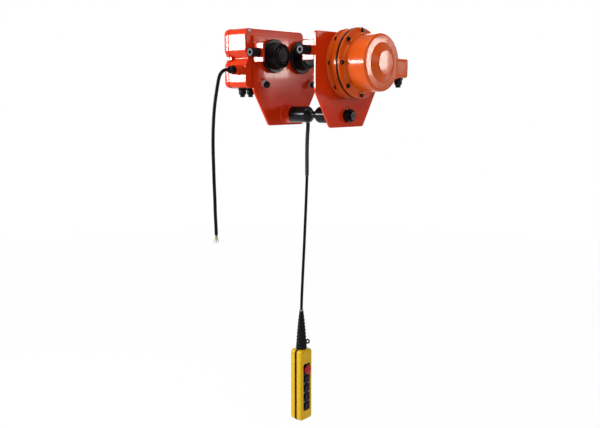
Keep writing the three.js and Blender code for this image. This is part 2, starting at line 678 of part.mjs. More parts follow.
// Studs that lean down from a round foot on each plate's inner face.
function guideStuds() {
  const leaning = joined(
    rod('X', STUD_SHANK_R, -10, STUD_LENGTH, SMALL_ROUND),
    rod('X', STUD_R, STUD_LENGTH - STUD_HEAD, STUD_HEAD, SMALL_ROUND),
  ).rotate(0, STUD_TILT, 0);
  const plateSide = block([-4 * STUD_LENGTH, GAP], [-STUD_LENGTH, STUD_LENGTH], [-STUD_LENGTH, STUD_LENGTH]);
  const stud = cut(joined(leaning, rod('X', STUD_BASE_R, -1, STUD_BASE, SMALL_ROUND)), plateSide);
  return [['front', -STUD_Y], ['rear', STUD_Y]].flatMap(([end, y]) => [
    part(`left_${end}_guide_stud`, stud.translate(-INNER, y, STUD_Z), blackSteel),
    part(`right_${end}_guide_stud`, stud.scale([-1, 1, 1]).translate(INNER, y, STUD_Z), blackSteel),
  ]);
}

// ---------------------------------------------------------------- glands

// A hexagon and a dome nut below Z = 0, bored for a cord.
function cordGland(cordR) {
  const dome = turned('Z', [
    [0, -GLAND_HEX + 1], [GLAND_R, -GLAND_HEX + 1], [GLAND_R, -GLAND_LENGTH + 8],
    [GLAND_R - 3, -GLAND_LENGTH + 2], [cordR + 3, -GLAND_LENGTH], [0, -GLAND_LENGTH],
  ], SMALL_ROUND);
  const bore = rod('Z', cordR + GAP, -GLAND_LENGTH - 1, GLAND_LENGTH + 2, SMALL_ROUND);
  return cut(joined(prism('Z', hexagon(GLAND_FLATS), -GLAND_HEX, GLAND_HEX), dome), bore);
}

// The same gland closed by a blanking plug.
function pluggedGland() {
  const plugFoot = -GLAND_LENGTH - GLAND_PLUG;
  const dome = turned('Z', [
    [0, -GLAND_HEX + 1], [GLAND_R, -GLAND_HEX + 1], [GLAND_R, -GLAND_LENGTH + 8],
    [GLAND_R - 3, -GLAND_LENGTH + 2], [GLAND_R - 5, -GLAND_LENGTH], [GLAND_R - 5, plugFoot + 2],
    [GLAND_R - 7, plugFoot], [0, plugFoot],
  ], SMALL_ROUND);
  return joined(prism('Z', hexagon(GLAND_FLATS), -GLAND_HEX, GLAND_HEX), dome);
}

// ---------------------------------------------------------------- control box

// The notch across one end, as a tool; grow makes it larger all round.
function notch(end, grow) {
  const face = end < 0 ? BOX_FRONT : BOX_REAR;
  const floor = face - end * (NOTCH_DEPTH + grow);
  const outside = face + end * 2;
  const points = [
    [outside, BOX_MIDDLE - NOTCH_HALF - grow], [outside, BOX_MIDDLE + NOTCH_HALF + grow],
    [floor, BOX_MIDDLE + NOTCH_FLOOR + grow], [floor, BOX_MIDDLE - NOTCH_FLOOR - grow],
  ];
  return prism('X', points, SEAM_X - COVER_DEPTH - 5, BOX_DEPTH + COVER_DEPTH + 10);
}

function boxOutline(inset) {
  return roundedRectangle(
    (BOX_FRONT + BOX_REAR) / 2, BOX_MIDDLE, BOX_LENGTH / 2 - inset, BOX_HEIGHT / 2 - inset,
    BOX_CORNER - inset);
}

function boxBody() {
  const outer = cut(prism('X', boxOutline(0), SEAM_X, BOX_DEPTH), notch(-1, 0), notch(1, 0));
  const inner = cut(
    prism('X', boxOutline(BOX_WALL), SEAM_X - 1, BOX_DEPTH + 1 - BOX_WALL),
    notch(-1, BOX_WALL), notch(1, BOX_WALL));
  const bossFrom = BOX_FRONT - GLAND_BOSS_LENGTH;
  const atSupply = (solid) => solid.translate(SUPPLY_GLAND_X, 0, SUPPLY_GLAND_Z);
  const boss = atSupply(rod('Y', GLAND_BOSS_R, bossFrom, GLAND_BOSS_LENGTH + 2));
  const bore = atSupply(rod('Y', GLAND_BORE_R, bossFrom - 1, GLAND_BOSS_LENGTH + BOX_WALL + 3, SMALL_ROUND));
  const outletBores = OUTLET_Y.map((y) => (
    rod('Z', GLAND_BORE_R, BOX_FOOT - 1, BOX_WALL + 2, SMALL_ROUND).translate(OUTLET_X, y, 0)));
  return cut(joined(cut(outer, inner), boss), bore, ...outletBores);
}

// A dish with a bevelled rim on its outside and a wall all round to the seam.
function boxCover() {
  const back = SEAM_X - GAP;
  const shape = new THREE.Shape(boxOutline(0).map(([a, b]) => new THREE.Vector2(a, b)));
  const bevelled = new THREE.ExtrudeGeometry(shape, {
    depth: 2 * (COVER_DEPTH - COVER_BEVEL), bevelEnabled: true, bevelThickness: COVER_BEVEL,
    bevelSize: COVER_BEVEL, bevelOffset: -COVER_BEVEL, bevelSegments: 2,
  });
  bevelled.translate(0, 0, COVER_BEVEL - COVER_DEPTH).applyMatrix4(TURN.X).translate(back, 0, 0);
  const beyondSeam = block(
    [back, back + 2 * COVER_DEPTH], [BOX_FRONT - 1, BOX_REAR + 1], [BOX_FOOT - 1, BOX_TOP + 1]);
  const hollow = cut(
    prism('X', boxOutline(BOX_WALL + 4), back - COVER_DEPTH + BOX_WALL, COVER_DEPTH),
    notch(-1, BOX_WALL), notch(1, BOX_WALL));
  return cut(solidOf(bevelled), beyondSeam, hollow, notch(-1, 0), notch(1, 0));
}

function controlBox() {
  const plateX = BOX_BACK - BOX_WALL - 8;
  const inset = BOX_WALL + NOTCH_DEPTH + 10;
  const plate = block(
    [plateX - 3, plateX], [BOX_FRONT + inset, BOX_REAR - inset], [BOX_FOOT + inset, BOX_TOP - inset]);
  const footX = plateX - 3 - GAP;
  const contactor = (y) => {
    const width = [y - CONTACTOR_WIDTH / 2, y + CONTACTOR_WIDTH / 2];
    const middle = footX - CONTACTOR_DEPTH * 0.55;
    return joined(
      block([middle, footX], width, [BOX_MIDDLE - CONTACTOR_HEIGHT / 2, BOX_MIDDLE + CONTACTOR_HEIGHT / 2]),
      block([footX - CONTACTOR_DEPTH, middle + 1], width, [
        BOX_MIDDLE - CONTACTOR_HEIGHT * 0.3, BOX_MIDDLE + CONTACTOR_HEIGHT * 0.3]),
    );
  };
  const boxY = (BOX_FRONT + BOX_REAR) / 2;
  const supplyGland = cordGland(SUPPLY_CORD_R).rotate(-90, 0, 0)
    .translate(SUPPLY_GLAND_X, BOX_FRONT - GLAND_BOSS_LENGTH - GAP, SUPPLY_GLAND_Z);
  const outlets = [
    ['front_outlet_gland', pluggedGland()], ['middle_outlet_gland', pluggedGland()],
    ['pendant_cord_gland', cordGland(PENDANT_CORD_R)],
  ].map(([name, gland], k) => (
    part(name, gland.translate(OUTLET_X, OUTLET_Y[k], BOX_FOOT - GAP), blackPlastic)));
  return [
    part('control_box_body', boxBody(), redEnamel),
    part('control_box_cover', boxCover(), redEnamel),
    part('contactor_plate', plate, brightSteel),
    part('forward_contactor', contactor(boxY - CONTACTOR_WIDTH * 0.6), greyPlastic),
    part('reverse_contactor', contactor(boxY + CONTACTOR_WIDTH * 0.6), greyPlastic),
    part('supply_gland', supplyGland, blackPlastic),
    ...outlets,
  ];
}

// ---------------------------------------------------------------- cords

// The supply cord leaves its gland level, bends down and hangs to its stripped end.
const SUPPLY_ROUTE = [
  [-200, -271.6, -5], [-200, -277, -5], [-200, -292, -7.7], [-200, -305.3, -15.3],
  [-200, -315.1, -27], [-200, -319.8, -38], [-200, -326, -60], [-200, -333, -90],
  [-200, -340.5, -125], [-200, -346.5, -162], [-200, -351, -205], [-200, -354, -255],
  [-200, -355, -310], [-200, -354, -370], [-200, -353, -430], [-200, -351, -490],
  [-200, -350, -550], [-200, -348, -600], [-200, -347, -636],
];

// The pendant cord drops from its gland, turns through the plate behind the shaft and hangs.
const PENDANT_ROUTE = [
  [-215, 75, -102.6], [-215, 75, -115], [-215, 75, -131], [-207.5, 75, -159],
  [-187, 75, -179.5], [-159, 75, -187], [-147, 74.8, -187], [-135, 74.5, -187.2],
  [-110, 71, -194], [-91.5, 62, -213], [-84.3, 54, -235], [-82, 49, -258],
  [-81, 46, -290], [-81, 45, -330], [-81, 45, -380], [-81, 45, -430],
  [-83, 44.5, -490], [-86, 44, -560], [-90, 43.5, -640], [-94, 43, -720],
  [-98, 42, -800], [-102, 41, -880], [-105.5, 40.4, -950], [-107, 40, -1005.7],
];

function cords() {
  return [
    part('supply_cord', tube(SUPPLY_ROUTE, SUPPLY_CORD_R, 32, 6), blackRubber),
    part('pendant_cord', tube(PENDANT_ROUTE, PENDANT_CORD_R, 48, 6), blackRubber),
  ];
}

// ---------------------------------------------------------------- pendant

const BUTTON_NAMES = ['up_button', 'down_button', 'left_button', 'right_button'];
const SHELL_DEPTH = (PENDANT_DEPTH - PENDANT_SEAM) / 2;
const REAR_X = PENDANT_X - PENDANT_DEPTH / 2;
const FACE_X = PENDANT_X + PENDANT_DEPTH / 2;
const PANEL_X = FACE_X - PANEL_DEPTH;
const LIP_X = PANEL_X - PENDANT_WALL - GAP;
const STOP_Z = PENDANT_TOP - STOP_DROP;
const BUTTON_Z = BUTTON_NAMES.map((_, k) => PENDANT_TOP - FIRST_BUTTON_DROP - k * BUTTON_PITCH);
const BUTTON_SIDES = 16;

function pendantOutline(inset) {
  const middle = PENDANT_TOP - PENDANT_HEIGHT / 2;
  return roundedRectangle(
    PENDANT_Y, middle, PENDANT_WIDTH / 2 - inset, PENDANT_HEIGHT / 2 - inset, PENDANT_CORNER - inset);
}

function frontShell() {
  const panelTop = STOP_Z + STOP_R + PANEL_END;
  const panelFoot = BUTTON_Z.at(-1) - BUTTON_R - PANEL_END;
  const panel = roundedRectangle(
    PENDANT_Y, (panelTop + panelFoot) / 2, PENDANT_WIDTH / 2 - PANEL_MARGIN, (panelTop - panelFoot) / 2,
    PANEL_CORNER);
  const hollow = SHELL_DEPTH + 1 - PENDANT_WALL - PANEL_DEPTH;
  const bore = (radius, z) => (
    rod('X', radius + RUN_CLEAR, FACE_X - SHELL_DEPTH, SHELL_DEPTH + 1, BUTTON_SIDES)
      .translate(0, PENDANT_Y, z));
  return cut(
    prism('X', pendantOutline(0), FACE_X - SHELL_DEPTH, SHELL_DEPTH),
    prism('X', pendantOutline(PENDANT_WALL), FACE_X - SHELL_DEPTH - 1, hollow),
    prism('X', panel, PANEL_X, PANEL_DEPTH + 1),
    bore(STOP_STEM_R, STOP_Z), ...BUTTON_Z.map((z) => bore(BUTTON_R, z)),
  );
}

// A plunger held behind the panel by a lip on its stem.
function pushButton(z) {
  const top = PANEL_X + BUTTON_PROUD;
  const back = LIP_X - BUTTON_LIP_THICK;
  return turned('X', [
    [0, back], [BUTTON_R + BUTTON_LIP, back], [BUTTON_R + BUTTON_LIP, LIP_X],
    [BUTTON_R, LIP_X], [BUTTON_R, top - 2], [BUTTON_R - 2, top], [0, top],
  ], BUTTON_SIDES).translate(0, PENDANT_Y, z);
}

function stopButton() {
  const cap = PANEL_X + STOP_TRAVEL + 1.5;
  return turned('X', [
    [0, LIP_X - BUTTON_LIP_THICK], [STOP_STEM_R + BUTTON_LIP, LIP_X - BUTTON_LIP_THICK],
    [STOP_STEM_R + BUTTON_LIP, LIP_X], [STOP_STEM_R, LIP_X], [STOP_STEM_R, cap], [STOP_R, cap],
    [STOP_R, cap + STOP_CAP - 4], [STOP_R - 3, cap + STOP_CAP - 1], [STOP_R - 8, cap + STOP_CAP],
    [0, cap + STOP_CAP],
  ], BUTTON_SIDES).translate(0, PENDANT_Y, STOP_Z);
}

function pendant() {
  const top = PENDANT_TOP;
  const boot = cut(
    turned('Z', [
      [0, top + GAP], ...BOOT_PROFILE.map(([r, z]) => [r, Math.max(top + z, top + GAP)]),
      [0, top + BOOT_LENGTH],
    ], BUTTON_SIDES),
    rod('Z', PENDANT_CORD_R + GAP, top - 1, BOOT_LENGTH + 2, SMALL_ROUND),
  ).translate(PENDANT_X, PENDANT_Y, 0);
  const rear = cut(
    prism('X', pendantOutline(0), REAR_X, SHELL_DEPTH),
    prism('X', pendantOutline(PENDANT_WALL), REAR_X + PENDANT_WALL, SHELL_DEPTH),
  );
  const seal = cut(
    prism('X', pendantOutline(1), REAR_X + SHELL_DEPTH + GAP, PENDANT_SEAM - 2 * GAP),
    prism('X', pendantOutline(PENDANT_WALL), REAR_X + SHELL_DEPTH, PENDANT_SEAM),
  );
  const contactFront = LIP_X - BUTTON_LIP_THICK - STOP_TRAVEL - 1;
  const contacts = block(
    [REAR_X + PENDANT_WALL + GAP, contactFront],
    [PENDANT_Y - PENDANT_WIDTH / 3, PENDANT_Y + PENDANT_WIDTH / 3],
    [BUTTON_Z.at(-1) - BUTTON_R, STOP_Z + BUTTON_R]);
  return [
    part('pendant_boot', boot, blackRubber),
    part('pendant_rear_shell', rear, yellowPlastic),
    part('pendant_front_shell', frontShell(), yellowPlastic),
    part('pendant_seal', seal, blackRubber),
    part('pendant_contact_block', contacts, greyPlastic),
    part('emergency_stop', stopButton(), redPlastic),
    ...BUTTON_NAMES.map((name, k) => part(name, pushButton(BUTTON_Z[k]), blackPlastic)),
  ];
}

// ---------------------------------------------------------------- the whole trolley

const trolley = new THREE.Group();
[
  sidePlates, suspensionShaft, wheels, driveTrain, gearboxAndMotor, terminalBox,
  bumpers, guideStuds, controlBox, cords, pendant,
].forEach((section) => trolley.add(...section()));

export default trolley;
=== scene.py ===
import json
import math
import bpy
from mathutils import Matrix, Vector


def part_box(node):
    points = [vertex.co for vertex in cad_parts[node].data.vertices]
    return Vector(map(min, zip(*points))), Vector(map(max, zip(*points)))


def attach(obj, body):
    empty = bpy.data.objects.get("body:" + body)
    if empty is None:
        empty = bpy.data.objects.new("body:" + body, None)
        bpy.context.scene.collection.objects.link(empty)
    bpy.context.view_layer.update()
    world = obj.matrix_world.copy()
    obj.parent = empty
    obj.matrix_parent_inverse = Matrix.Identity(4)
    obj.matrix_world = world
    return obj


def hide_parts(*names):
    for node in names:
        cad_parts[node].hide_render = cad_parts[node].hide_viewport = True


bl_info = {
    "name": "Beam trolley",
    "version": (1, 0, 0),
    "blender": (4, 5, 0),
    "location": "View3D > Sidebar > Trolley",
    "description": "Dresses the packed beam trolley with its enamel, steel, rubber and plastic surfaces",
    "category": "Object",
}

import bmesh
import bpy
import numpy as np
from bpy.props import FloatProperty, FloatVectorProperty, PointerProperty
from bpy.types import Operator, Panel, PropertyGroup
from mathutils import Vector

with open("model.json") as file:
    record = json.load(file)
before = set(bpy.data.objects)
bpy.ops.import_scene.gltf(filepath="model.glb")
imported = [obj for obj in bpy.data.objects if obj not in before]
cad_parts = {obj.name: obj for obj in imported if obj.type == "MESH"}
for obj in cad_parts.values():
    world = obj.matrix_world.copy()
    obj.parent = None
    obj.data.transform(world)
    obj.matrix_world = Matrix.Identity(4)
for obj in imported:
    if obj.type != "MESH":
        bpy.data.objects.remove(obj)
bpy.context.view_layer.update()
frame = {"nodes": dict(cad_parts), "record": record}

MM = 0.001


# --- settings


def linear(text):
    """An sRGB hex colour as the linear values that shaders take."""
    srgb = np.array([int(text[i : i + 2], 16) for i in (1, 3, 5)]) / 255
    return tuple(np.where(srgb <= 0.04045, srgb / 12.92, ((srgb + 0.055) / 1.055) ** 2.4))


def colour(name, description, value):
    """A colour setting, from an sRGB hex colour."""
    return FloatVectorProperty(name=name, description=description, subtype="COLOR", size=3, min=0, max=1,
                               default=linear(value))


def length(name, description, low, high, value):
    """A length setting in metres, with its limits and default."""
    return FloatProperty(name=name, description=description, unit="LENGTH", min=low, max=high, default=value)


class TrolleyLooks(PropertyGroup):
    plate_enamel: colour("Plate enamel", "Enamel of the side plates and control box", "#C83009")
    motor_enamel: colour("Motor enamel", "Enamel of the motor, gearbox and terminal box", "#CF5009")
    pendant_yellow: colour("Pendant yellow", "Moulded colour of the pendant's shells", "#D2A607")
    stop_red: colour("Stop red", "Moulded colour of the emergency stop", "#A80D1C")
    peel: length("Orange peel", "Width of the ripples that spraying leaves in the enamel",
                 0.0005, 0.01, 0.0032)
    edge: length("Plate edge", "Radius that grinding and paint leave on a plate's edge",
                 0.0002, 0.004, 0.0016)


def looks():
    return bpy.context.scene.trolley_looks


# --- surfaces, in millimetres


def placed(u, v, w, axis):
    """Coordinates across (u, v) and along (w) an axis, as points: Y, Z, X for X and so on round."""
    order = {"X": (w, u, v), "Y": (v, w, u), "Z": (u, v, w)}[axis]
    return np.stack(np.broadcast_arrays(*order), -1)


def skin(rings, wrap=False):
    """Quads between closed rings of equal length, P(i, j) with j going round. The first and last
    ring are closed by a flat face, or joined to each other where wrap is set."""
    rings = np.asarray(rings, float)
    rows, count = rings.shape[:2]
    i = np.arange(rows if wrap else rows - 1)[:, None] * count
    j = np.arange(count)[None, :]
    after, right = (i + count) % (rows * count), (j + 1) % count
    faces = np.stack([i + j, i + right, after + right, after + j], -1).reshape(-1, 4).tolist()
    if not wrap:
        faces += [list(range(count))[::-1], list(range((rows - 1) * count, rows * count))]
    return rings.reshape(-1, 3), faces


def eased(points, reach, steps=5, closed=False):
    """A line with each corner C replaced by (1-t)^2 A + 2t(1-t) C + t^2 B, where A and B lie
    reach away from C on its two sides. reach is one number or one for each corner."""
    p = np.asarray(points, float)
    back, on = np.roll(p, 1, 0) - p, np.roll(p, -1, 0) - p
    if not closed:
        back[0], on[-1] = on[0], back[-1]
    long_back = np.linalg.norm(back, axis=1, keepdims=True)
    long_on = np.linalg.norm(on, axis=1, keepdims=True)
    far = np.minimum(np.broadcast_to(reach, len(p))[:, None], 0.49 * np.minimum(long_back, long_on))
    a, b = p + back / long_back * far, p + on / long_on * far
    t = np.linspace(0, 1, steps + 1)[None, :, None]
    curve = (1 - t) ** 2 * a[:, None] + 2 * t * (1 - t) * p[:, None] + t**2 * b[:, None]
    if closed:
        return curve.reshape(-1, p.shape[1])
    return np.vstack([p[:1], curve[1:-1].reshape(-1, p.shape[1]), p[-1:]])


def lathe(profile, axis, centre=(0, 0, 0), sides=96, ease=0.0, wrap=False):
    """A surface of revolution: P = centre + s * axis + r (cos a, sin a) for each (r, s) of the
    profile, with the profile's corners eased."""
    line = eased(profile, ease, closed=wrap) if ease else np.asarray(profile, float)
    a = np.arange(sides) / sides * 2 * np.pi
    rings = placed(line[:, :1] * np.cos(a), line[:, :1] * np.sin(a), line[:, 1:], axis)
    return skin(rings + np.asarray(centre, float), wrap)


def inset(outline, depth):
    """Each point of an outline moved inwards along the bisector of its two edges, so that the
    edges move in by depth."""
    p = np.asarray(outline, float)
    ahead, behind = np.roll(p, -1, 0) - p, p - np.roll(p, 1, 0)
    ahead = ahead / np.maximum(np.linalg.norm(ahead, axis=1, keepdims=True), 1e-9)
    behind = behind / np.maximum(np.linalg.norm(behind, axis=1, keepdims=True), 1e-9)
    left = lambda d: np.stack([-d[:, 1], d[:, 0]], 1)
    bisector = left(ahead) + left(behind)
    share = np.maximum((bisector * left(ahead)).sum(1, keepdims=True), 0.25)
    return p + bisector / share * depth


def loft(outline, levels, axis):
    """An outline carried along an axis: at each level (d, w) it is inset by d and placed at w."""
    return skin([placed(*inset(outline, d).T, w, axis) for d, w in levels])


def quarter_round(radius, steps):
    """A rounded edge, from the flat end up to the side: inset r (1 - sin a), height r (1 - cos a)."""
    a = np.linspace(0, np.pi / 2, steps + 1)
    return [(radius * (1 - math.sin(t)), radius * (1 - math.cos(t))) for t in a]


def slab(outline, low, high, axis, radius):
    """A plate between two levels with a quarter round at each edge."""
    edge = quarter_round(radius, 4)
    return loft(outline, [(d, low + w) for d, w in edge] + [(d, high - w) for d, w in edge[::-1]], axis)


def rectangle(u0, u1, v0, v1, corner, steps=6):
    """Counter-clockwise rectangle with eased corners."""
    return eased([(u1, v0), (u1, v1), (u0, v1), (u0, v0)], corner, steps, closed=True)


def hexagon(flats):
    """A regular hexagon by its width across flats."""
    a = (np.arange(6) + 0.5) / 6 * 2 * np.pi
    r = flats / 2 / math.cos(math.pi / 6)
    return np.stack([r * np.cos(a), r * np.sin(a)], 1)


def through(points, count):
    """A smooth centripetal curve through points, sampled evenly enough to sweep along.
    Each span is Barry and Goldman's pyramid of linear blends over knots |P' - P|^(1/2)."""
    p = np.asarray(points, float)
    p = np.vstack([2 * p[0] - p[1], p, 2 * p[-1] - p[-2]])
    knots = np.concatenate([[0], np.cumsum(np.linalg.norm(np.diff(p, axis=0), axis=1) ** 0.5)])
    u = np.linspace(knots[1], knots[-2] - 1e-9, count)
    k = np.searchsorted(knots, u, "right") - 1
    t = [knots[k + d][:, None] for d in (-1, 0, 1, 2)]
    q = [p[k + d] for d in (-1, 0, 1, 2)]
    u = u[:, None]
    mix = lambda a, b, ta, tb: ((tb - u) * a + (u - ta) * b) / (tb - ta)
    a1, a2, a3 = (mix(q[d], q[d + 1], t[d], t[d + 1]) for d in range(3))
    return mix(mix(a1, a2, t[0], t[2]), mix(a2, a3, t[1], t[3]), t[1], t[2])


def sweep(path, radius, across, sides=20, wrap=False):
    """A tube round a path: P = C + r (cos a N + sin a B), B at right angles to the path and to
    the direction across, N to both."""
    path = np.asarray(path, float)
    along = np.roll(path, -1, 0) - np.roll(path, 1, 0) if wrap else np.gradient(path, axis=0)
    along /= np.linalg.norm(along, axis=1, keepdims=True)
    b = np.cross(along, np.asarray(across, float))
    b /= np.linalg.norm(b, axis=1, keepdims=True)
    n = np.cross(b, along)
    a = np.arange(sides)[:, None] / sides * 2 * np.pi
    r = np.broadcast_to(radius, len(path))[:, None, None]
    return skin(path[:, None] + r * (np.cos(a) * n[:, None] + np.sin(a) * b[:, None]), wrap)


def turned(shell, degrees, axis):
    """A shell turned by the right-hand rule round an axis through the origin."""
    a = math.radians(degrees)
    c, s = math.cos(a), math.sin(a)
    matrix = {
        "X": [[1, 0, 0], [0, c, -s], [0, s, c]],
        "Y": [[c, 0, s], [0, 1, 0], [-s, 0, c]],
        "Z": [[c, -s, 0], [s, c, 0], [0, 0, 1]],
    }[axis]
    return shell[0] @ np.array(matrix).T, shell[1]


def moved(shell, offset):
    """A shell with the offset added to each point."""
    return shell[0] + np.asarray(offset, float), shell[1]


def mirrored(shell):
    """A shell's mirror image across the plane X = 0."""
    return shell[0] * (-1, 1, 1), shell[1]


# --- materials


def add(tree, kind, inputs=None, **settings):
    """Adds a shader node, sets its properties, and sets or links each input by name or number."""
    made = tree.nodes.new("ShaderNode" + kind)
    for key, value in settings.items():
        setattr(made, key, value)
    for key, value in (inputs or {}).items():
        if isinstance(value, bpy.types.NodeSocket):
            tree.links.new(value, made.inputs[key])
        else:
            made.inputs[key].default_value = value
    return made


def empty_tree(holder):
    holder.use_nodes = True
    holder.node_tree.nodes.clear()
    return holder.node_tree


def two_tones(pair):
    """Two linear colours: a pair of hex colours, or one hex colour or setting and two shares of it."""
    if len(pair) == 2:
        return [linear(text) for text in pair]
    base, *shares = pair
    base = np.array(linear(base) if base.startswith("#") else getattr(looks(), base))
    return [np.clip(base * share, 0, 1) for share in shares]


def make(name, tones, blotch, rough, ripple, depth, sockets=None, bands=None, stretch=(1, 1, 1)):
    """A material in two tones that noise mixes in blotches of a given width, with roughness that
    wanders between two values and relief of a given width and depth. The relief is noise, or bands
    across the named axis. All lengths are metres; no width means the orange peel's."""
    made = bpy.data.materials.new(name)
    tree = empty_tree(made)
    ripple = ripple or looks().peel
    place = add(tree, "TexCoord").outputs["Object"]
    place = add(tree, "Mapping", {"Vector": place, "Scale": stretch}).outputs["Vector"]
    cloud = add(tree, "TexNoise", {"Vector": place, "Scale": 1 / blotch, "Detail": 3.0})
    grain = add(tree, "TexNoise", {"Vector": place, "Scale": 5 / blotch, "Detail": 4.0})
    tone = add(tree, "ValToRGB", {"Fac": cloud.outputs["Fac"]})
    for element, position, value in zip(tone.color_ramp.elements, (0.32, 0.68), two_tones(tones)):
        element.position, element.color = position, (*value, 1)
    wander = add(tree, "MapRange", {
        "Value": grain.outputs["Fac"], "From Min": 0.3, "From Max": 0.7,
        "To Min": rough[0], "To Max": rough[1]})
    if bands:
        # a wave texture repeats every 2 pi / 20 over its scale
        height = add(tree, "TexWave", {
            "Vector": place, "Scale": math.pi / 10 / ripple, "Distortion": 0.3}, bands_direction=bands)
    else:
        height = add(tree, "TexNoise", {"Vector": place, "Scale": 1 / ripple, "Detail": 2.0})
    bump = add(tree, "Bump", {"Height": height.outputs["Fac"], "Distance": depth})
    shader = add(tree, "BsdfPrincipled", {
        **(sockets or {}), "Base Color": tone.outputs["Color"], "Roughness": wander.outputs["Result"],
        "Normal": bump.outputs["Normal"]})
    add(tree, "OutputMaterial", {"Surface": shader.outputs["BSDF"]})
    return made


def moulded(tone, rough=(0.28, 0.42)):
    # Injection-moulded ABS: even colour through the wall, satin gloss, fine mould grain.
    return (tone, 0.93, 1.03), 0.04, rough, 0.0012, 0.00001, {"IOR": 1.54, "Specular IOR Level": 0.18}


RED, ORANGE, BLACK_ENAMEL = "red_gloss_enamel", "orange_gloss_enamel", "black_wheel_enamel"
BLACKENED, ZINC, MACHINED = "oil_blackened_steel", "zinc_plated_steel", "machined_steel"
INSERT, CAP, WINDINGS = "phosphated_steel_insert", "phosphated_steel_cap", "varnished_windings"
RUBBER, SHEATH, SLEEVE = "moulded_black_rubber", "black_pvc_sheath", "braided_grey_sleeve"
NYLON, YELLOW, STOP_RED = "moulded_black_nylon", "yellow_moulded_abs", "red_moulded_abs"
GREY, MARK = "grey_moulded_abs", "white_moulded_mark"
CORES = {"core_insulation_1": "#8A4B20", "core_insulation_2": "#2E2F33",
         "core_insulation_3": "#9C9FA3", "core_insulation_4": "#7D9A2B"}
GLOSS = {"Specular IOR Level": 0.14, "Coat Weight": 0.16, "Coat Roughness": 0.04}

FINISHES = {
    # Alkyd gloss enamel sprayed on rolled plate and pressings: it mirrors the lamps sharply, with
    # orange peel a few millimetres wide, and is a little deeper where the coat ran thick.
    RED: (("plate_enamel", 0.86, 1.06), 0.09, (0.13, 0.24), None, 0.00004, GLOSS),
    # The same enamel in orange on castings, whose sand-cast skin it doesn't quite level.
    ORANGE: (("motor_enamel", 0.88, 1.06), 0.07, (0.14, 0.26), None, 0.00005, GLOSS),
    # Semi-gloss black enamel on forged wheels: deep black with soft lamps in it and the forging's skin.
    BLACK_ENAMEL: (("#070708", "#101113"), 0.04, (0.28, 0.34), 0.006, 0.00001,
                   {"Specular IOR Level": 0.1, "Coat Weight": 0.06, "Coat Roughness": 0.15}),
    # Turned steel, oil blackened: dark satin metal with a long lamp streak and fine turning rings,
    # drawn 1.5 mm apart so that they show.
    BLACKENED: (("#0E0F11", "#1A1B1E"), 0.018, (0.16, 0.26), 0.0015, 0.00001,
                {"Metallic": 0.5, "Specular IOR Level": 0.2}, "X"),
    # Bright zinc plate on small steel fasteners: silvery, faintly mottled.
    ZINC: (("#A3A7AC", "#CDD0D4"), 0.006, (0.24, 0.42), 0.0012, 0.00003, {"Metallic": 0.5}),
    # Bare machined steel of shafts, gears and bearings: bright, with tool marks along the cut.
    MACHINED: (("#7C7F83", "#A2A4A8"), 0.03, (0.34, 0.48), 0.0014, 0.00003, {"Metallic": 1.0},
               None, (6, 1, 1)),
    # Phosphated steel insert moulded into the buffer: an even matt grey.
    INSERT: (("#54575B", "#6A6D72"), 0.006, (0.6, 0.75), 0.0012, 0.00003,
             {"Metallic": 0.2, "Specular IOR Level": 0.18}),
    # Phosphated steel of grease caps and shaft ends: a shade paler than the black round it, satin.
    CAP: (("#2A2C2F", "#3C3E42"), 0.012, (0.26, 0.36), 0.004, 0.00001,
          {"Metallic": 0.3, "Specular IOR Level": 0.3}),
    # Varnished copper wire: brown-red and glossy, ridged wire by wire, drawn 1.5 mm apart.
    WINDINGS: (("#4A2415", "#A2592F"), 0.01, (0.35, 0.5), 0.0015, 0.0002,
               {"Coat Weight": 0.5, "Metallic": 0.4}, "X"),
    # Moulded black rubber: matt, with a faint bloom and a fine pebbled mould texture.
    RUBBER: (("#080809", "#121213"), 0.015, (0.45, 0.62), 0.0011, 0.00008, {"Specular IOR Level": 0.1}),
    # Extruded PVC cord sheath: smooth black with a soft shine, the cores' lay showing through as a
    # slow ripple.
    SHEATH: (("#040405", "#0A0A0B"), 0.03, (0.3, 0.42), 0.009, 0.00012,
             {"IOR": 1.53, "Specular IOR Level": 0.1}, "Z"),
    # Braided polyester sleeve: dark grey and dull, its braid 3 mm from crossing to crossing.
    SLEEVE: (("#202124", "#3C3D41"), 0.004, (0.5, 0.7), 0.003, 0.0003, {"Specular IOR Level": 0.16}, "Z"),
    # Glass-filled nylon: dark satin with a spark-eroded mould grain.
    NYLON: (("#050506", "#0D0E0F"), 0.01, (0.24, 0.4), 0.001, 0.00005,
            {"IOR": 1.53, "Specular IOR Level": 0.12}),
    YELLOW: moulded("pendant_yellow"),
    STOP_RED: moulded("stop_red", (0.2, 0.32)),
    GREY: moulded("#8F9296"),
    MARK: moulded("#DADADA"),
    **{core: moulded(tone) for core, tone in CORES.items()},
}


def material(name):
    return bpy.data.materials.get(name) or make(name, *FINISHES[name])


# --- pieces


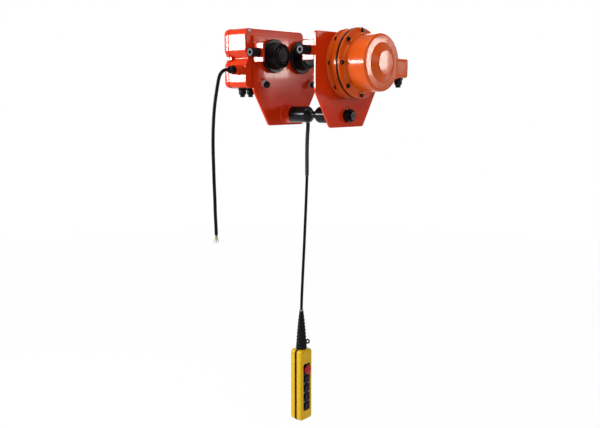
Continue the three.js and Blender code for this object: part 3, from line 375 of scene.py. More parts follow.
def piece(name, parts, body, stands_for=(), sharp=32):
    """One object from lists of shells by their finish, in metres, riding on a CAD body. Its faces
    are turned outwards, and edges sharper than an angle in degrees stay crisp."""
    mesh = bpy.data.meshes.new(name)
    points, faces, index = [], [], []
    start = 0
    for number, (finish, shells) in enumerate(parts.items()):
        mesh.materials.append(material(finish))
        for verts, shell_faces in shells:
            points.append(verts * MM)
            faces += [[start + k for k in face] for face in shell_faces]
            index += [number] * len(shell_faces)
            start += len(verts)
    mesh.from_pydata(np.vstack(points).tolist(), [], faces)
    mesh.polygons.foreach_set("material_index", index)
    work = bmesh.new()
    work.from_mesh(mesh)
    bmesh.ops.remove_doubles(work, verts=work.verts, dist=1e-7)
    bmesh.ops.recalc_face_normals(work, faces=work.faces)
    work.to_mesh(mesh)
    work.free()
    mesh.polygons.foreach_set("use_smooth", [True] * len(mesh.polygons))
    mesh.set_sharp_from_angle(angle=math.radians(sharp))
    obj = bpy.data.objects.new(name, mesh)
    bpy.context.scene.collection.objects.link(obj)
    # flat faces keep their own normals beside the narrow rounds
    obj.modifiers.new("area_weighted_normals", "WEIGHTED_NORMAL").keep_sharp = True
    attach(obj, body)
    if stands_for:
        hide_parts(*stands_for)
    return obj


def box(node):
    """The CAD node's lowest and highest corners in millimetres."""
    low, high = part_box(node)
    return np.array(low) / MM, np.array(high) / MM


def centre(node):
    low, high = box(node)
    return (low + high) / 2


def seat(node, axis, level):
    """The CAD node's middle, with its coordinate along an axis replaced by a level."""
    return np.where(np.arange(3) == "XYZ".index(axis), level, centre(node))


SIDES = {"left": "trolley", "right": "motor_side"}  # each side plate's body
PLATE_INNER, PLATE_OUTER = 154.0, 164.0  # of both side plates, from the middle
SHAFT_Z = -177.0
DRIVE_Z = 15.0


def beside(side, shell, y, z, x=PLATE_INNER):
    """A shell made at the origin as seen on the left plate, moved there, or mirrored to the right one."""
    return moved(shell, (-x, y, z)) if side == "left" else moved(mirrored(shell), (x, y, z))


# --- camera


class TROLLEY_OT_camera(Operator):
    """Stand the camera to the front right, level with the trolley, looking a little down"""

    bl_idname = "trolley.camera"
    bl_label = "Camera"

    def execute(self, context):
        data = bpy.data.cameras.new("view")
        data.lens = 44.18
        data.sensor_width = 36
        data.clip_end = 50
        camera = bpy.data.objects.new("view", data)
        context.scene.collection.objects.link(camera)
        camera.location = (1.9382, -2.1906, -0.097)
        forward = Vector((-0.66846, 0.72616, -0.16077))
        camera.rotation_euler = forward.to_track_quat("-Z", "Y").to_euler()
        context.scene.camera = camera
        return {"FINISHED"}


# --- cords

SUPPLY_X = -200
SUPPLY_ROUTE = [  # (y, z) in the plane x = SUPPLY_X
    (-271.6, -5), (-277, -5), (-292, -7.7), (-305.3, -15.3), (-315.1, -27), (-319.8, -38), (-326, -60),
    (-333, -90), (-340.5, -125), (-346.5, -162), (-351, -205), (-354, -255), (-355, -310), (-354, -370),
    (-353, -430), (-351, -490), (-350, -550), (-348, -600), (-347, -636),
]
PENDANT_ROUTE = [
    (-215, 75, -102.6), (-215, 75, -115), (-215, 75, -131), (-207.5, 75, -159),
    (-187, 75, -179.5), (-159, 75, -187), (-147, 74.8, -187), (-135, 74.5, -187.2),
    (-110, 71, -194), (-91.5, 62, -213), (-84.3, 54, -235), (-82, 49, -258),
    (-81, 46, -290), (-81, 45, -330), (-81, 45, -380), (-81, 45, -430),
    (-83, 44.5, -490), (-86, 44, -560), (-90, 43.5, -640), (-94, 43, -720),
    (-98, 42, -800), (-102, 41, -880), (-105.5, 40.4, -950), (-107, 40, -1005.7),
]
SUPPLY_R = 6.5
PENDANT_R = 6.0
SLEEVE_R = 7.8
SLEEVE_TOP, SLEEVE_FOOT = -190, -429
CORE_R = 1.6
CORE_RISE, CORE_DROP = 4, -28  # the cores start inside the sheath and drop from there


class TROLLEY_OT_cords(Operator):
    """Hang the supply cord with its stripped end, and the pendant cord with its sleeve"""

    bl_idname = "trolley.cords"
    bl_label = "Cords"

    def execute(self, context):
        supply = through([(SUPPLY_X, y, z) for y, z in SUPPLY_ROUTE], 220)
        supply_cord = piece("supply_cord_sheath", {SHEATH: [sweep(supply, SUPPLY_R, (1, 0, 0))]},
                            "trolley", ["supply_cord"])
        parts = {core: [] for core in CORES} | {ZINC: []}
        t = np.linspace(0, 1, 16)[:, None]
        for k, core in enumerate(CORES):
            a = (k + 0.5) / 4 * 2 * math.pi
            side = np.array([math.cos(a), math.sin(a), 0])
            # each core splays out on its way down
            path = supply[-1] + side * (2.6 + 4.5 * t**2) + np.array([0, 0, 1]) * (CORE_RISE + CORE_DROP * t)
            parts[core].append(sweep(path, CORE_R, (0.3, 1, 0), 12))
            ferrule = [(1.9, 2), (2.1, 0), (1.2, -1), (1.2, -9), (0.6, -10)]
            parts[ZINC].append(lathe(ferrule, "Z", path[-1], 16))
        stripped = piece("supply_cord_cores", parts, "trolley")

        hang = through(PENDANT_ROUTE, 320)
        pendant_cord = piece("pendant_cord_sheath", {SHEATH: [sweep(hang, PENDANT_R, (0, 1, 0))]},
                             "trolley", ["pendant_cord"])
        covered = hang[(hang[:, 2] < SLEEVE_TOP) & (hang[:, 2] > SLEEVE_FOOT)]
        count = np.arange(len(covered))
        ends = np.minimum(1, np.minimum(count, count[::-1]) / 2 + 0.82)
        cover = piece("pendant_cord_sleeve", {SLEEVE: [sweep(covered, SLEEVE_R * ends, (0, 1, 0), 28)]},
                      "trolley")
        return {"FINISHED"}


# --- side plates

PLATE_CORNERS = [(97.5, -221), (180, -84), (180, 127), (-180, 127), (-180, -84), (-97.5, -221)]
PAD_FACE, PAD_BACK = 182.0, 174.0
CORD_HOLE = (0, 75, -187)


def left_plate():
    """The left plate's shells: plate, shaft boss with its weld, and two bumper brackets, each a
    pad with a gusset and a wavy weld bead."""
    inner, outer = -PLATE_INNER, -PLATE_OUTER
    plate = slab(eased(PLATE_CORNERS, 8, 6, closed=True), outer, inner, "X", looks().edge / MM)
    at = (0, 0, SHAFT_Z)
    boss = lathe([(15.9, inner - 1), (33.6, inner - 1), (33.6, -113), (15.9, -113)], "X", at, 96, 1.4,
                 wrap=True)
    weld = lathe([(32, inner - 1), (40, inner - 1), (39.6, inner + 0.8), (36.5, inner + 2.2),
                  (34.4, inner + 4.6), (33.2, inner + 5.6), (32, inner + 5.6)], "X", at, 96, 0.7, wrap=True)
    shells = [plate, boss, weld]
    for end in (-1, 1):
        back = end * PAD_BACK
        low, high = sorted((end * PAD_FACE, back))
        gusset = np.array([(inner - 1, back + end), (-106, back + end), (-106, back),
                           (inner + 1, back - end * 22), (inner - 1, back - end * 22)])[::end]
        bead = [(inner + 0.4, back - end * 0.4, z) for z in np.linspace(26, 94, 30)]
        shells += [slab(rectangle(25, 95, inner - 1, -101.5, 3.5), low, high, "Y", 1.2),
                   slab(eased(gusset, 1.2, 3, closed=True), 57, 63, "Z", 0.8),
                   sweep(bead, 2.2 + 0.25 * np.sin(np.linspace(0, 44, 30)), (1, 0, 0), 12)]
    return shells


class TROLLEY_OT_side_plates(Operator):
    """Make both side plates as one weldment each: plate, shaft boss, bumper pads and gussets"""

    bl_idname = "trolley.side_plates"
    bl_label = "Side plates"

    def execute(self, context):
        shells = left_plate()
        piece("left_plate_weldment", {RED: shells}, "trolley", ["left_side_plate"])
        piece("right_plate_weldment", {RED: [mirrored(s) for s in shells]}, "motor_side",
              ["right_side_plate"])
        ring = lathe([(6.6, -168.5), (17, -168.5), (17.6, -164.4), (13.9, -164.2), (13.9, -153.8),
                      (17.6, -153.6), (17, -149.5), (6.6, -149.5)], "X", CORD_HOLE, 48, 0.8, wrap=True)
        piece("cord_grommet", {RUBBER: [ring]}, "trolley")
        return {"FINISHED"}


# --- suspension shaft

NUT_SEAT = 164.3
PIN_X = 184.4


def castle_nut():
    """The right-hand slotted nut: hexagon to a level, and above it a crown cut by six slots. The
    hexagon's corners are chamfered, r = min(hexagon, cone), and the crown's top drops into each slot."""
    a = np.arange(180) / 180 * 2 * np.pi
    off = np.mod(a, np.pi / 3) - np.pi / 6
    flats = 24.0 / np.cos(off)
    crown = np.where(np.abs(off) * 21 < 3.4, 16.6, 23.6)
    rings = [(np.minimum(flats, reach), h) for reach, h in [(25.2, 0), (28, 1.4), (28, 13.5), (25, 15.6)]]
    rings += [(22.4, 16.2), (22.4, crown - 0.8), (21.4, crown), (16.8, crown), (16.2, crown - 0.6), (16.2, 0)]
    return skin([placed(r * np.cos(a), r * np.sin(a) + SHAFT_Z, NUT_SEAT + h, "X") for r, h in rings],
                wrap=True)


class TROLLEY_OT_suspension_shaft(Operator):
    """Turn the waisted suspension shaft and fit its slotted nuts and split pins"""

    bl_idname = "trolley.suspension_shaft"
    bl_label = "Suspension shaft"

    def execute(self, context):
        at = (0, 0, SHAFT_Z)
        end = box("suspension_shaft")[1][0]
        t = np.linspace(0, 1, 14)
        waist = np.stack([14.5 + 17.5 * (3 * t**2 - 2 * t**3), 3 + 29 * t], 1)
        half = np.vstack([waist, [(32, 34), (32, 111.4), (30.6, 112.7), (16, 112.7), (16, end - 2.2),
                                  (14.2, end)]])
        shaft = lathe(np.vstack([half[::-1] * [1, -1], half]), "X", at)
        # each end has a thin satin face round its centre hole; the hole is not cut, and a flat black disc in
        # the rubber finish paints its shade
        hole_shade_discs = [lathe([(4.6, s * (end + 0.15) - 0.05), (4.6, s * (end + 0.15) + 0.05)], "X", at, 32)
                 for s in (-1, 1)]
        faces = [lathe([(4.6, s * (end - 0.05)), (13.9, s * (end - 0.05)), (13.7, s * (end + 0.12)),
                        (4.6, s * (end + 0.12))], "X", at, 64, wrap=True) for s in (-1, 1)]
        piece("waisted_shaft", {BLACKENED: [shaft], RUBBER: hole_shade_discs, CAP: faces}, "trolley",
              ["suspension_shaft"], sharp=40)
        nut = castle_nut()
        pin = [sweep([(PIN_X, y, SHAFT_Z) for y in np.linspace(-25.5, 25.5, 12)], 2.3, (0, 0, 1), 14)]
        for k in (-1, 1):
            leg = [(PIN_X, 25, SHAFT_Z + k * 1.1), (PIN_X + 0.2, 27.5, SHAFT_Z + k * 3),
                   (PIN_X + 0.8, 28.2, SHAFT_Z + k * 9)]
            pin.append(sweep(through(leg, 12), 1.15, (1, 0, 0), 10))
        for name, place in (("left", mirrored), ("right", lambda s: s)):
            piece(f"{name}_castle_nut", {BLACKENED: [place(nut)]}, "trolley",
                  [f"{name}_shaft_nut"])
            piece(f"{name}_split_pin", {BLACKENED: [place(s) for s in pin]}, "trolley")
        return {"FINISHED"}


# --- wheels and their drive

PRESSURE = math.radians(20)
WHEEL_TEETH = 52
PINION_TEETH = 17
MODULE = 2.5
AXIS_DROP = 35.0
WHEEL_Z = 50
RIM = (8, 18)  # of the driven wheels' teeth, from the plate's face


def gear_outline(teeth, tooth_angle):
    """Straight-flanked teeth: each has its root and tip points at plus and minus the half angle
    h + inv(20 degrees) - inv(acos(base / r)), with inv(x) = tan x - x."""
    pitch = teeth * MODULE / 2
    base = pitch * math.cos(PRESSURE)
    inv = lambda x: np.tan(x) - x
    radii = pitch + np.array([-1.25, 0.85, 0.85, -1.25]) * MODULE
    half = math.pi / (2 * teeth) - 0.35 / (2 * pitch)
    spread_by = half + inv(PRESSURE) - inv(np.arccos(base / np.maximum(radii, base)))
    turn = np.array([-1, -1, 1, 1]) * spread_by
    a = (tooth_angle + np.arange(teeth)[:, None] * 2 * np.pi / teeth + turn).ravel()
    r = np.tile(radii, teeth)
    return np.stack([r * np.cos(a), r * np.sin(a)], 1)


def mesh_angle(other_teeth, other_angle, line, teeth):
    """A tooth's angle on a gear that meshes with another. The other has a tooth at other_angle, and
    line is the direction from its centre to this gear's. The gaps of one stand at the teeth of the
    other: line + pi - (other_angle - line) N' / N + pi / N, for N' and N teeth."""
    return line + math.pi - (other_angle - line) * other_teeth / teeth + math.pi / teeth


def wheel_shell(geared):
    """A flanged wheel about X, its plate side at s = 0: flange, coned tread, web groove and hub."""
    rim = [(61, 8.6), (61, 18), (65, 18), (65, 18.2)] if geared else [(64.2, 8), (65, 8.8), (65, 17.2)]
    profile = [(18, 8), (55, 8), *rim, (62.6, 20), (53.2, 20), (52.4, 21.2), (47.6, 51.4), (45, 54.6),
               (41.4, 55), (39.6, 52.2), (35.4, 51.6), (33.4, 54.6), (31.6, 57.8), (24.6, 58), (23.8, 57),
               (23.8, 13), (18, 13)]
    return lathe(profile, "X", sides=128, wrap=True)


class TROLLEY_OT_wheels(Operator):
    """Make the four flanged wheels, the toothed rims of the driven pair, and the grease caps"""

    bl_idname = "trolley.wheels"
    bl_label = "Wheels"

    def execute(self, context):
        wheel_y = centre("right_rear_wheel")[1]
        front_line, rear_line = math.atan2(-AXIS_DROP, wheel_y), math.atan2(AXIS_DROP, wheel_y)
        pinion = mesh_angle(WHEEL_TEETH, front_line, front_line, PINION_TEETH)
        tooth = {"front": front_line, "rear": mesh_angle(PINION_TEETH, pinion, rear_line, WHEEL_TEETH)}
        cap = lathe([(22.6, 50), (23.3, 51), (23.3, 59), (21.8, 60.4), (15, 61.4), (13.8, 60.6),
                     (12.4, 60.9), (4, 61.3)], "X")
        for side in SIDES:
            geared = side == "right"
            for end, y in (("front", -wheel_y), ("rear", wheel_y)):
                parts = {BLACK_ENAMEL: [wheel_shell(geared)], CAP: [cap]}
                if geared:
                    parts[MACHINED] = [slab(gear_outline(WHEEL_TEETH, tooth[end]), *RIM, "X", 0.35)]
                node = f"{side}_{end}_wheel"
                piece(f"{node}_finished",
                      {m: [beside(side, s, y, WHEEL_Z) for s in shells] for m, shells in parts.items()},
                      node, [node], sharp=28)
        return {"FINISHED"}


# --- bumpers and guide studs

BUMPER_FOOT, BUMPER_END = 182.3, 225.3
BUMPER_X, BUMPER_Z = 128.5, 60
STUD_Y, STUD_Z = 136.0, -52
STUD_LEAN = 20  # degrees


class TROLLEY_OT_bumpers(Operator):
    """Make the rubber bumpers with a steel washer sunk in each end face"""

    bl_idname = "trolley.bumpers"
    bl_label = "Bumpers"

    def execute(self, context):
        foot, end = BUMPER_FOOT, BUMPER_END
        buffer = lathe([(6.4, end - 20), (6.4, end - 1), (7.4, end - 0.3), (14.6, end - 0.3), (15.2, end),
                        (16.2, end - 0.2), (17.4, end - 1.6), (17.6, end - 6), (17.2, foot + 12),
                        (17.5, foot + 1.2), (16.6, foot), (3, foot)], "Y")
        washer = lathe([(7.6, end - 1.2), (13.4, end - 1.2), (13.4, end + 0.2), (13, end + 0.5),
                        (8.1, end + 0.5), (7.6, end + 0.1)], "Y", sides=64, wrap=True)
        for side, body in SIDES.items():
            for name, turn in (("front", 180), ("rear", 0)):
                place = lambda s: [beside(side, turned(s, turn, "Z"), 0, BUMPER_Z, BUMPER_X)]
                piece(f"{side}_{name}_buffer", {RUBBER: place(buffer), INSERT: place(washer)}, body,
                      [f"{side}_{name}_bumper"])
        return {"FINISHED"}


class TROLLEY_OT_guide_studs(Operator):
    """Make the sloping guide studs: a collar on the plate, a shank of bright zinc painted as the flank's
    highlight, and a dark roller
    """

    bl_idname = "trolley.guide_studs"
    bl_label = "Guide studs"

    def execute(self, context):
        # the shank's bright zinc paints the lamp's highlight along the flank of a dark stud
        highlight_shank = lathe([(8, 8), (12.2, 8), (12.8, 8.6), (12.8, 21), (8, 21.4)], "X", sides=64)
        roller = lathe([(8, 21.8), (12.4, 21.8), (13, 22.4), (13, 31.6), (11.6, 33.4), (7.4, 34),
                        (6.6, 32.4), (3, 32)], "X", sides=64)
        collar = lathe([(3, 0.2), (17, 0.2), (16.4, 2.2), (13.4, 4.4), (10.4, 6.6), (8, 7.4), (3, 7.4)], "X",
                       sides=64)
        for side, body in SIDES.items():
            for name, y in (("front", -STUD_Y), ("rear", STUD_Y)):
                place = lambda s, lean: [beside(side, turned(s, lean, "Y"), y, STUD_Z)]
                piece(f"{side}_{name}_guide_roller",
                      {ZINC: place(highlight_shank, STUD_LEAN), BLACKENED: place(roller, STUD_LEAN),
                       RED: place(collar, 0)}, body, [f"{side}_{name}_guide_stud"])
        return {"FINISHED"}


# --- gearbox and motor

BOLT_ANGLES = np.arange(8) * 45.0
BOLT_R, NUT_R = 118, 123.6
BOLT_FLATS = 13


def hex_bolt(flats, height, low):
    """A hexagon head with a chamfered top, from low upwards along X, and its washer."""
    head = loft(hexagon(flats), [(0, low), (0, low + height * 0.75), (flats * 0.07, low + height)], "X")
    washer = lathe([(flats * 0.3, low - 0.8), (flats * 0.62, low - 0.8), (flats * 0.62, low + 0.4),
                    (flats * 0.3, low + 0.4)], "X", sides=32, wrap=True)
    return head, washer


def ring_of(shells, radius):
    """Copies of shells at a radius from the drive's axis, one set at each bolt."""
    return [moved(turned(moved(s, (0, radius, 0)), a, "X"), (0, 0, DRIVE_Z))
            for a in BOLT_ANGLES for s in shells]


class TROLLEY_OT_gearbox(Operator):
    """Cast the gearbox: foot flange, stepped wall and the thick seam flange with its nuts"""

    bl_idname = "trolley.gearbox"
    bl_label = "Gearbox"

    def execute(self, context):
        at = (0, 0, DRIVE_Z)
        shell = lathe([(112, 164.3), (127.4, 164.3), (128.5, 165.6), (128.5, 171.8), (127.2, 173.4),
                       (123.4, 174.2), (121.2, 176.4), (120.6, 184), (120.8, 187.4), (122.6, 189.2),
                       (126.6, 190), (128.4, 191.6), (128.6, 199), (127.4, 200.4), (127.4, 202),
                       (128.6, 203.4), (128.6, 212.8), (127.4, 214.3), (112, 214.3)], "X", at, 160, wrap=True)
        boss = lathe([(11.5, 186), (11.5, 190.4), (2, 190.4)], "X", sides=40)
        nut = loft(hexagon(BOLT_FLATS), [(0.8, 178.4), (0, 179.2), (0, 186.6)], "X")
        stub = lathe([(1, 175.4), (3.4, 175.6), (4, 176.4), (4, 180), (1, 180)], "X", sides=24)
        piece("gearbox_casting", {ORANGE: [shell, *ring_of([boss], BOLT_R)],
                                  BLACKENED: ring_of([nut, stub], NUT_R)},
              "motor_side", ["gearbox_housing"], sharp=30)
        gasket = lathe([(120, 213.2), (128.9, 213.2), (129.6, 214.2), (129.6, 221.2), (128.9, 222.2),
                        (120, 222.2)], "X", at, 160, wrap=True)
        face = lathe([(9, 215.2), (104, 215.2), (104, 219.8), (9, 219.8)], "X", at, wrap=True)
        piece("motor_end_shield", {RUBBER: [gasket], MACHINED: [face]}, "motor_side",
              ["motor_shield"])
        return {"FINISHED"}


class TROLLEY_OT_motor(Operator):
    """Cast the motor: lugged flange, barrel, flat end ring and the cone that rises to its cap"""

    bl_idname = "trolley.motor"
    bl_label = "Motor"

    def execute(self, context):
        t = np.linspace(0, 1, 9) * np.pi / 2
        shoulder = np.stack([104 - 9 * (1 - np.cos(t)), 317 + 9 * np.sin(t)], 1)
        flange = [(97, 220.9), (127.6, 220.9), (128.6, 222), (128.6, 226.6), (127.2, 228.4), (121, 229.6),
                  (113, 230.4), (107.6, 232.2), (105.2, 235), (104.2, 239), (104, 244)]
        cone = [(72, 326), (69.4, 326.2), (67.4, 327.2), (46, 340.2), (43.6, 341.6), (41, 342), (0.1, 342.1)]
        inside = [(0.1, 335), (38, 335), (64, 320), (96.9, 318), (97, 221.4)]
        shell = lathe(np.vstack([flange, shoulder, cone, inside]), "X", (0, 0, DRIVE_Z), 160)
        lug = lathe([(2, 221.2), (12, 221.2), (12, 231), (11, 232.4), (2, 232.6)], "X", sides=40)
        neck = lathe([(2, 222), (9.6, 222), (9.6, 232.2), (2, 232.2)], "X", sides=40)
        piece("motor_casting",
              {ORANGE: [shell, *ring_of([lug], BOLT_R), *ring_of([neck], BOLT_R - 8)],
               BLACKENED: ring_of(hex_bolt(BOLT_FLATS, 7, 233.4), BOLT_R)},
              "motor_side", ["motor_housing"], sharp=34)
        return {"FINISHED"}


class TROLLEY_OT_terminal_box(Operator):
    """Make the terminal box on the motor's side, with its lid, seal and screws"""

    bl_idname = "trolley.terminal_box"
    bl_label = "Terminal box"

    def execute(self, context):
        low, high = box("terminal_box")
        (_, seam, _), (_, top, _) = box("terminal_box_lid")
        outline = rectangle(low[2], high[2], low[0], high[0], 13, 8)
        body = loft(outline, [(0, 84), (0, high[1] - 1.2), (0.5, high[1] - 0.3), (1.2, high[1])], "Y")
        saddle = loft(inset(outline, -5), [(0, 84), (0.4, 104), (5, 109)], "Y")
        piece("terminal_box_casting", {ORANGE: [body, saddle]}, "motor_side",
              ["terminal_box"])
        lid = loft(outline, [(1.4, seam), (0.2, seam + 0.5), (0, seam + 1.4), (0, top - 4), (1.2, top - 1.4),
                             (4.2, top)], "Y")
        island = rectangle(low[2] + 15, high[2] - 15, low[0] + 15, high[0] - 15, 6, 6)
        raised = loft(island, [(0, top - 0.4), (0.6, top + 1.2), (2, top + 1.8)], "Y")
        seal = loft(inset(outline, 0.8), [(0, high[1] - 0.6), (0, seam + 0.6)], "Y")
        head = [(1, top - 3), (4.2, top - 3), (4.2, top - 0.9), (3.6, top + 0.6), (2.2, top + 1.2),
                (1.6, top - 0.4), (0.6, top - 0.4)]
        screws = [lathe(head, "Y", (x, 0, z), 32) for z in (low[2] + 8.5, high[2] - 8.5)
                  for x in (low[0] + 8.5, high[0] - 8.5)]
        piece("terminal_box_cap", {ORANGE: [lid, raised], RUBBER: [seal], ZINC: screws}, "motor_side",
              ["terminal_box_lid"])
        return {"FINISHED"}


# --- control box


def box_outline(proud=0.0):
    """Counter-clockwise (Y, Z) outline: rounded corners, and a V notch across each end."""
    (_, y0, z0), (_, y1, z1) = box("control_box_cover")
    mid = (z0 + z1) / 2
    corners = [(y1, z0), (y1, mid - 26), (y1 - 14, mid - 3), (y1 - 14, mid + 3), (y1, mid + 26), (y1, z1),
               (y0, z1), (y0, mid + 26), (y0 + 14, mid + 3), (y0 + 14, mid - 3), (y0, mid - 26), (y0, z0)]
    soft = [24, 7, 4, 4, 7, 24] * 2
    return inset(eased(corners, soft, 7, closed=True), -proud)


class TROLLEY_OT_control_box(Operator):
    """Form the control box: notched body, dished cover, the seal between them and the screws"""

    bl_idname = "trolley.control_box"
    bl_label = "Control box"

    def execute(self, context):
        (back, y0, z0), (seam, y1, z1) = box("control_box_cover")
        (_, boss_y, _), (wall, _, _) = box("control_box_body")
        mid = (z0 + z1) / 2
        tab = lambda y, low, high: slab(rectangle(y - 7, y + 7, mid - 8, mid + 8, 3), low, high, "X", 0.8)
        outline = box_outline()
        body = loft(outline, [(2.4, seam + 0.4), (0.6, seam + 1), (0, seam + 2.4), (0, wall - 6),
                              (1.2, wall - 2), (4.5, wall)], "X")
        boss = lathe([(7.6, y0 + 4), (22, y0 + 4), (20.2, y0 - 1.5), (18.4, y0 - 5), (18, boss_y + 1.5),
                      (16.6, boss_y), (7.6, boss_y)], "Y", (SUPPLY_X, 0, -5), 64, wrap=True)
        tabs = [tab(y, seam + 0.8, seam + 14) for y in (y0 + 10, y1 - 10)]
        plug = lathe([(1, wall - 3), (6.5, wall - 3), (5.8, wall + 0.6), (4.8, wall + 1.4), (4.6, wall + 3.4),
                      (3.2, wall + 4.4), (1, wall + 4.6)], "X", (0, y0 + 21, z1 - 10), 40)
        piece("control_box_shell", {RED: [body, boss, *tabs], ZINC: [plug]}, "trolley",
              ["control_box_body"], sharp=34)

        dome = [(d, back + w) for d, w in quarter_round(13, 6)]
        cover = loft(outline, [*dome, (0, seam - 9)], "X")
        flange = loft(box_outline(1.2), [(1.2, seam - 11), (0.2, seam - 9.6), (0, seam - 8.4),
                                         (0, seam - 1.6), (0.6, seam - 0.6), (2.2, seam - 0.1)], "X")
        seal = loft(inset(outline, 1.1), [(0, seam - 0.4), (0, seam + 0.7)], "X")
        panel = loft(rectangle(y0 + 34, y1 - 34, z0 + 30, z1 - 30, 14, 8),
                     [(2.4, back - 1.6), (0.6, back - 1), (0, back + 0.6)], "X")
        ends = (y0 + 9, y1 - 9)
        tabs = [tab(y, seam - 10, seam - 0.2) for y in ends]
        heads = [lathe([(0.8, seam - 14.6), (3.6, seam - 14.4), (5.2, seam - 12.6), (5.4, seam - 10.4),
                        (1, seam - 9.6)], "X", (0, y, mid), 40) for y in ends]
        piece("control_box_lid", {RED: [cover, flange, panel, *tabs], RUBBER: [seal], ZINC: heads},
              "trolley", ["control_box_cover"], sharp=34)
        return {"FINISHED"}


# --- glands

PLUGGED_R = 4.0  # throat of a gland that has a plug in place of a cord


def gland(cord_r):
    """A compression gland hanging below Z = 0: a hexagon, and a dome nut whose ribs stand out by
    h (1 + cos 24 a) / 2, with the cord's throat in it."""
    collar = loft(hexagon(31), [(1.2, -8), (0, -7.2), (0, -1), (1, 0)], "Z")
    a = np.arange(120) / 120 * 2 * np.pi
    rib = 0.45 * (1 + np.cos(24 * a)) / 2
    rows = [(13.6, -7.6, 0), (14.4, -9, 1), (14.6, -19, 1), (13.6, -22.5, 0.6), (11.4, -26, 0),
            (9.6, -27.6, 0), (cord_r + 1.6, -28, 0), (cord_r + 0.5, -27, 0), (cord_r + 0.5, -20, 0)]
    dome = skin([placed((r + rib * k) * np.cos(a), (r + rib * k) * np.sin(a), z, "Z") for r, z, k in rows])
    return [collar, dome]


class TROLLEY_OT_glands(Operator):
    """Make the five cord glands, two of them on the control box and one on the motor plugged"""

    bl_idname = "trolley.glands"
    bl_label = "Glands"

    def execute(self, context):
        for node, body, cord_r in (
            ("front_outlet_gland", "trolley", PLUGGED_R), ("middle_outlet_gland", "trolley", PLUGGED_R),
            ("pendant_cord_gland", "trolley", PENDANT_R), ("terminal_gland", "motor_side", PLUGGED_R),
        ):
            foot, top = (corner[2] for corner in box(node))
            shells = gland(cord_r)
            if cord_r == PLUGGED_R:
                shells.append(loft(hexagon(17), [(1.4, foot - top), (0, foot - top + 1.2), (0, -26)], "Z"))
            at = seat(node, "Z", top)
            piece(f"{node}_nut", {NYLON: [moved(s, at) for s in shells]}, body, [node])
        at = seat("supply_gland", "Y", box("supply_gland")[1][1])
        shells = [moved(turned(s, -90, "X"), at) for s in gland(SUPPLY_R)]
        piece("supply_gland_nut", {NYLON: shells}, "trolley", ["supply_gland"])
        return {"FINISHED"}


# --- pendant

BUTTONS = ["up_button", "down_button", "left_button", "right_button"]
PANEL_HALF = 21  # half the window's width


def panel_cell(low, high, y0, y1, hole_z, hole_r, z0, z1):
    """One cell of the button panel: a rectangle with a round hole. Both edges are read at the same
    angles from the hole's centre; the rectangle's reach is min(a / |cos|, b / |sin|)."""
    yc = (y0 + y1) / 2
    exact = [math.atan2(z - hole_z, y - yc) for z in (z0, z1) for y in (y0, y1)]
    a = np.unique(np.round(np.concatenate([np.linspace(-np.pi, np.pi, 72, endpoint=False), exact]), 6))
    c, s = np.cos(a), np.sin(a)
    across = (y1 - yc) / np.maximum(np.abs(c), 1e-9)
    along = np.where(s > 0, z1 - hole_z, hole_z - z0) / np.maximum(np.abs(s), 1e-9)
    reach = np.minimum(across, along) - 0.05
    ring = lambda r, x: placed(yc + r * c, hole_z + r * s, x, "X")
    return skin([ring(hole_r, low), ring(hole_r, high - 0.5), ring(hole_r + 0.5, high), ring(reach, high),
                 ring(reach, low)], wrap=True)


class TROLLEY_OT_pendant(Operator):
    """Mould the pendant's two shells with the seam's seal, the button panel and the screws"""

    bl_idname = "trolley.pendant"
    bl_label = "Pendant"

    def execute(self, context):
        (x0, y0, z0), (seam0, y1, z1) = box("pendant_rear_shell")
        (seam1, _, _), (x1, _, _) = box("pendant_front_shell")
        outer = rectangle(y0, y1, z0, z1, 15, 10)
        back = [(d, x0 + w) for d, w in quarter_round(8, 8)]
        rear = loft(outer, [*back, (0, seam0 - 1), (0.8, seam0)], "X")
        head = [(0.8, x0 - 0.5), (3, x0 - 0.6), (3.9, x0 + 0.6), (3.9, x0 + 3), (0.8, x0 + 3)]
        screws = [lathe(head, "X", (0, y, z), 32) for z in (z0 + 16, z1 - 16) for y in (y0 + 18, y1 - 18)]
        piece("pendant_back", {YELLOW: [rear], ZINC: screws}, "trolley",
              ["pendant_rear_shell"])

        top = box("emergency_stop")[1][2] + 7
        low = box("right_button")[0][2] - 5.5
        mid_y = (y0 + y1) / 2
        window = rectangle(mid_y - PANEL_HALF, mid_y + PANEL_HALF, low, top, 8, 10)
        front = [placed(*inset(line, d).T, x, "X") for line, levels in (
            (outer, [(0.8, seam1), (0, seam1 + 1), *((d, x1 - w) for d, w in quarter_round(11, 8)[::-1])]),
            (window, [(-1, x1), (0, x1 - 0.9), (0, x1 - 4.2), (-2.5, x1 - 4.2), (-2.5, x1 - 7)]),
            (outer, [(14, x1 - 7), (3, x1 - 12), (3, seam1)]),
        ) for d, x in levels]
        piece("pendant_front", {YELLOW: [skin(front, wrap=True)]}, "trolley",
              ["pendant_front_shell"], sharp=40)

        heights = [centre(n)[2] for n in ("emergency_stop", *BUTTONS)]
        edges = [top - 0.4, *((heights[k] + heights[k + 1]) / 2 for k in range(4)), low + 0.4]
        wide = PANEL_HALF - 0.4
        cells = [panel_cell(x1 - 6.4, x1 - 3.4, mid_y - wide, mid_y + wide, heights[k], 13.7 if k else 8.7,
                            edges[k + 1], edges[k]) for k in range(5)]
        dot = [(0.5, x1 - 4.2), (2.2, x1 - 4.2), (2, x1 - 2.9), (0.5, x1 - 2.7)]
        marks = [lathe(dot, "X", (0, y, z), 24) for z in edges[2:5] for y in (mid_y - 15.5, mid_y + 15.5)]
        piece("pendant_button_panel", {NYLON: cells, MARK: marks}, "trolley")

        lip, proud = 2.4, 1.3
        under, over = seam0 - lip, seam1 + lip
        seal = loft(inset(outer, -proud), [(proud + 0.9, under), (0.5, under + 0.2), (0, under + 0.8),
                                           (0, over - 0.8), (0.5, over - 0.2), (proud + 0.9, over)], "X")
        piece("pendant_seam_seal", {RUBBER: [seal]}, "trolley", ["pendant_seal"])
        return {"FINISHED"}


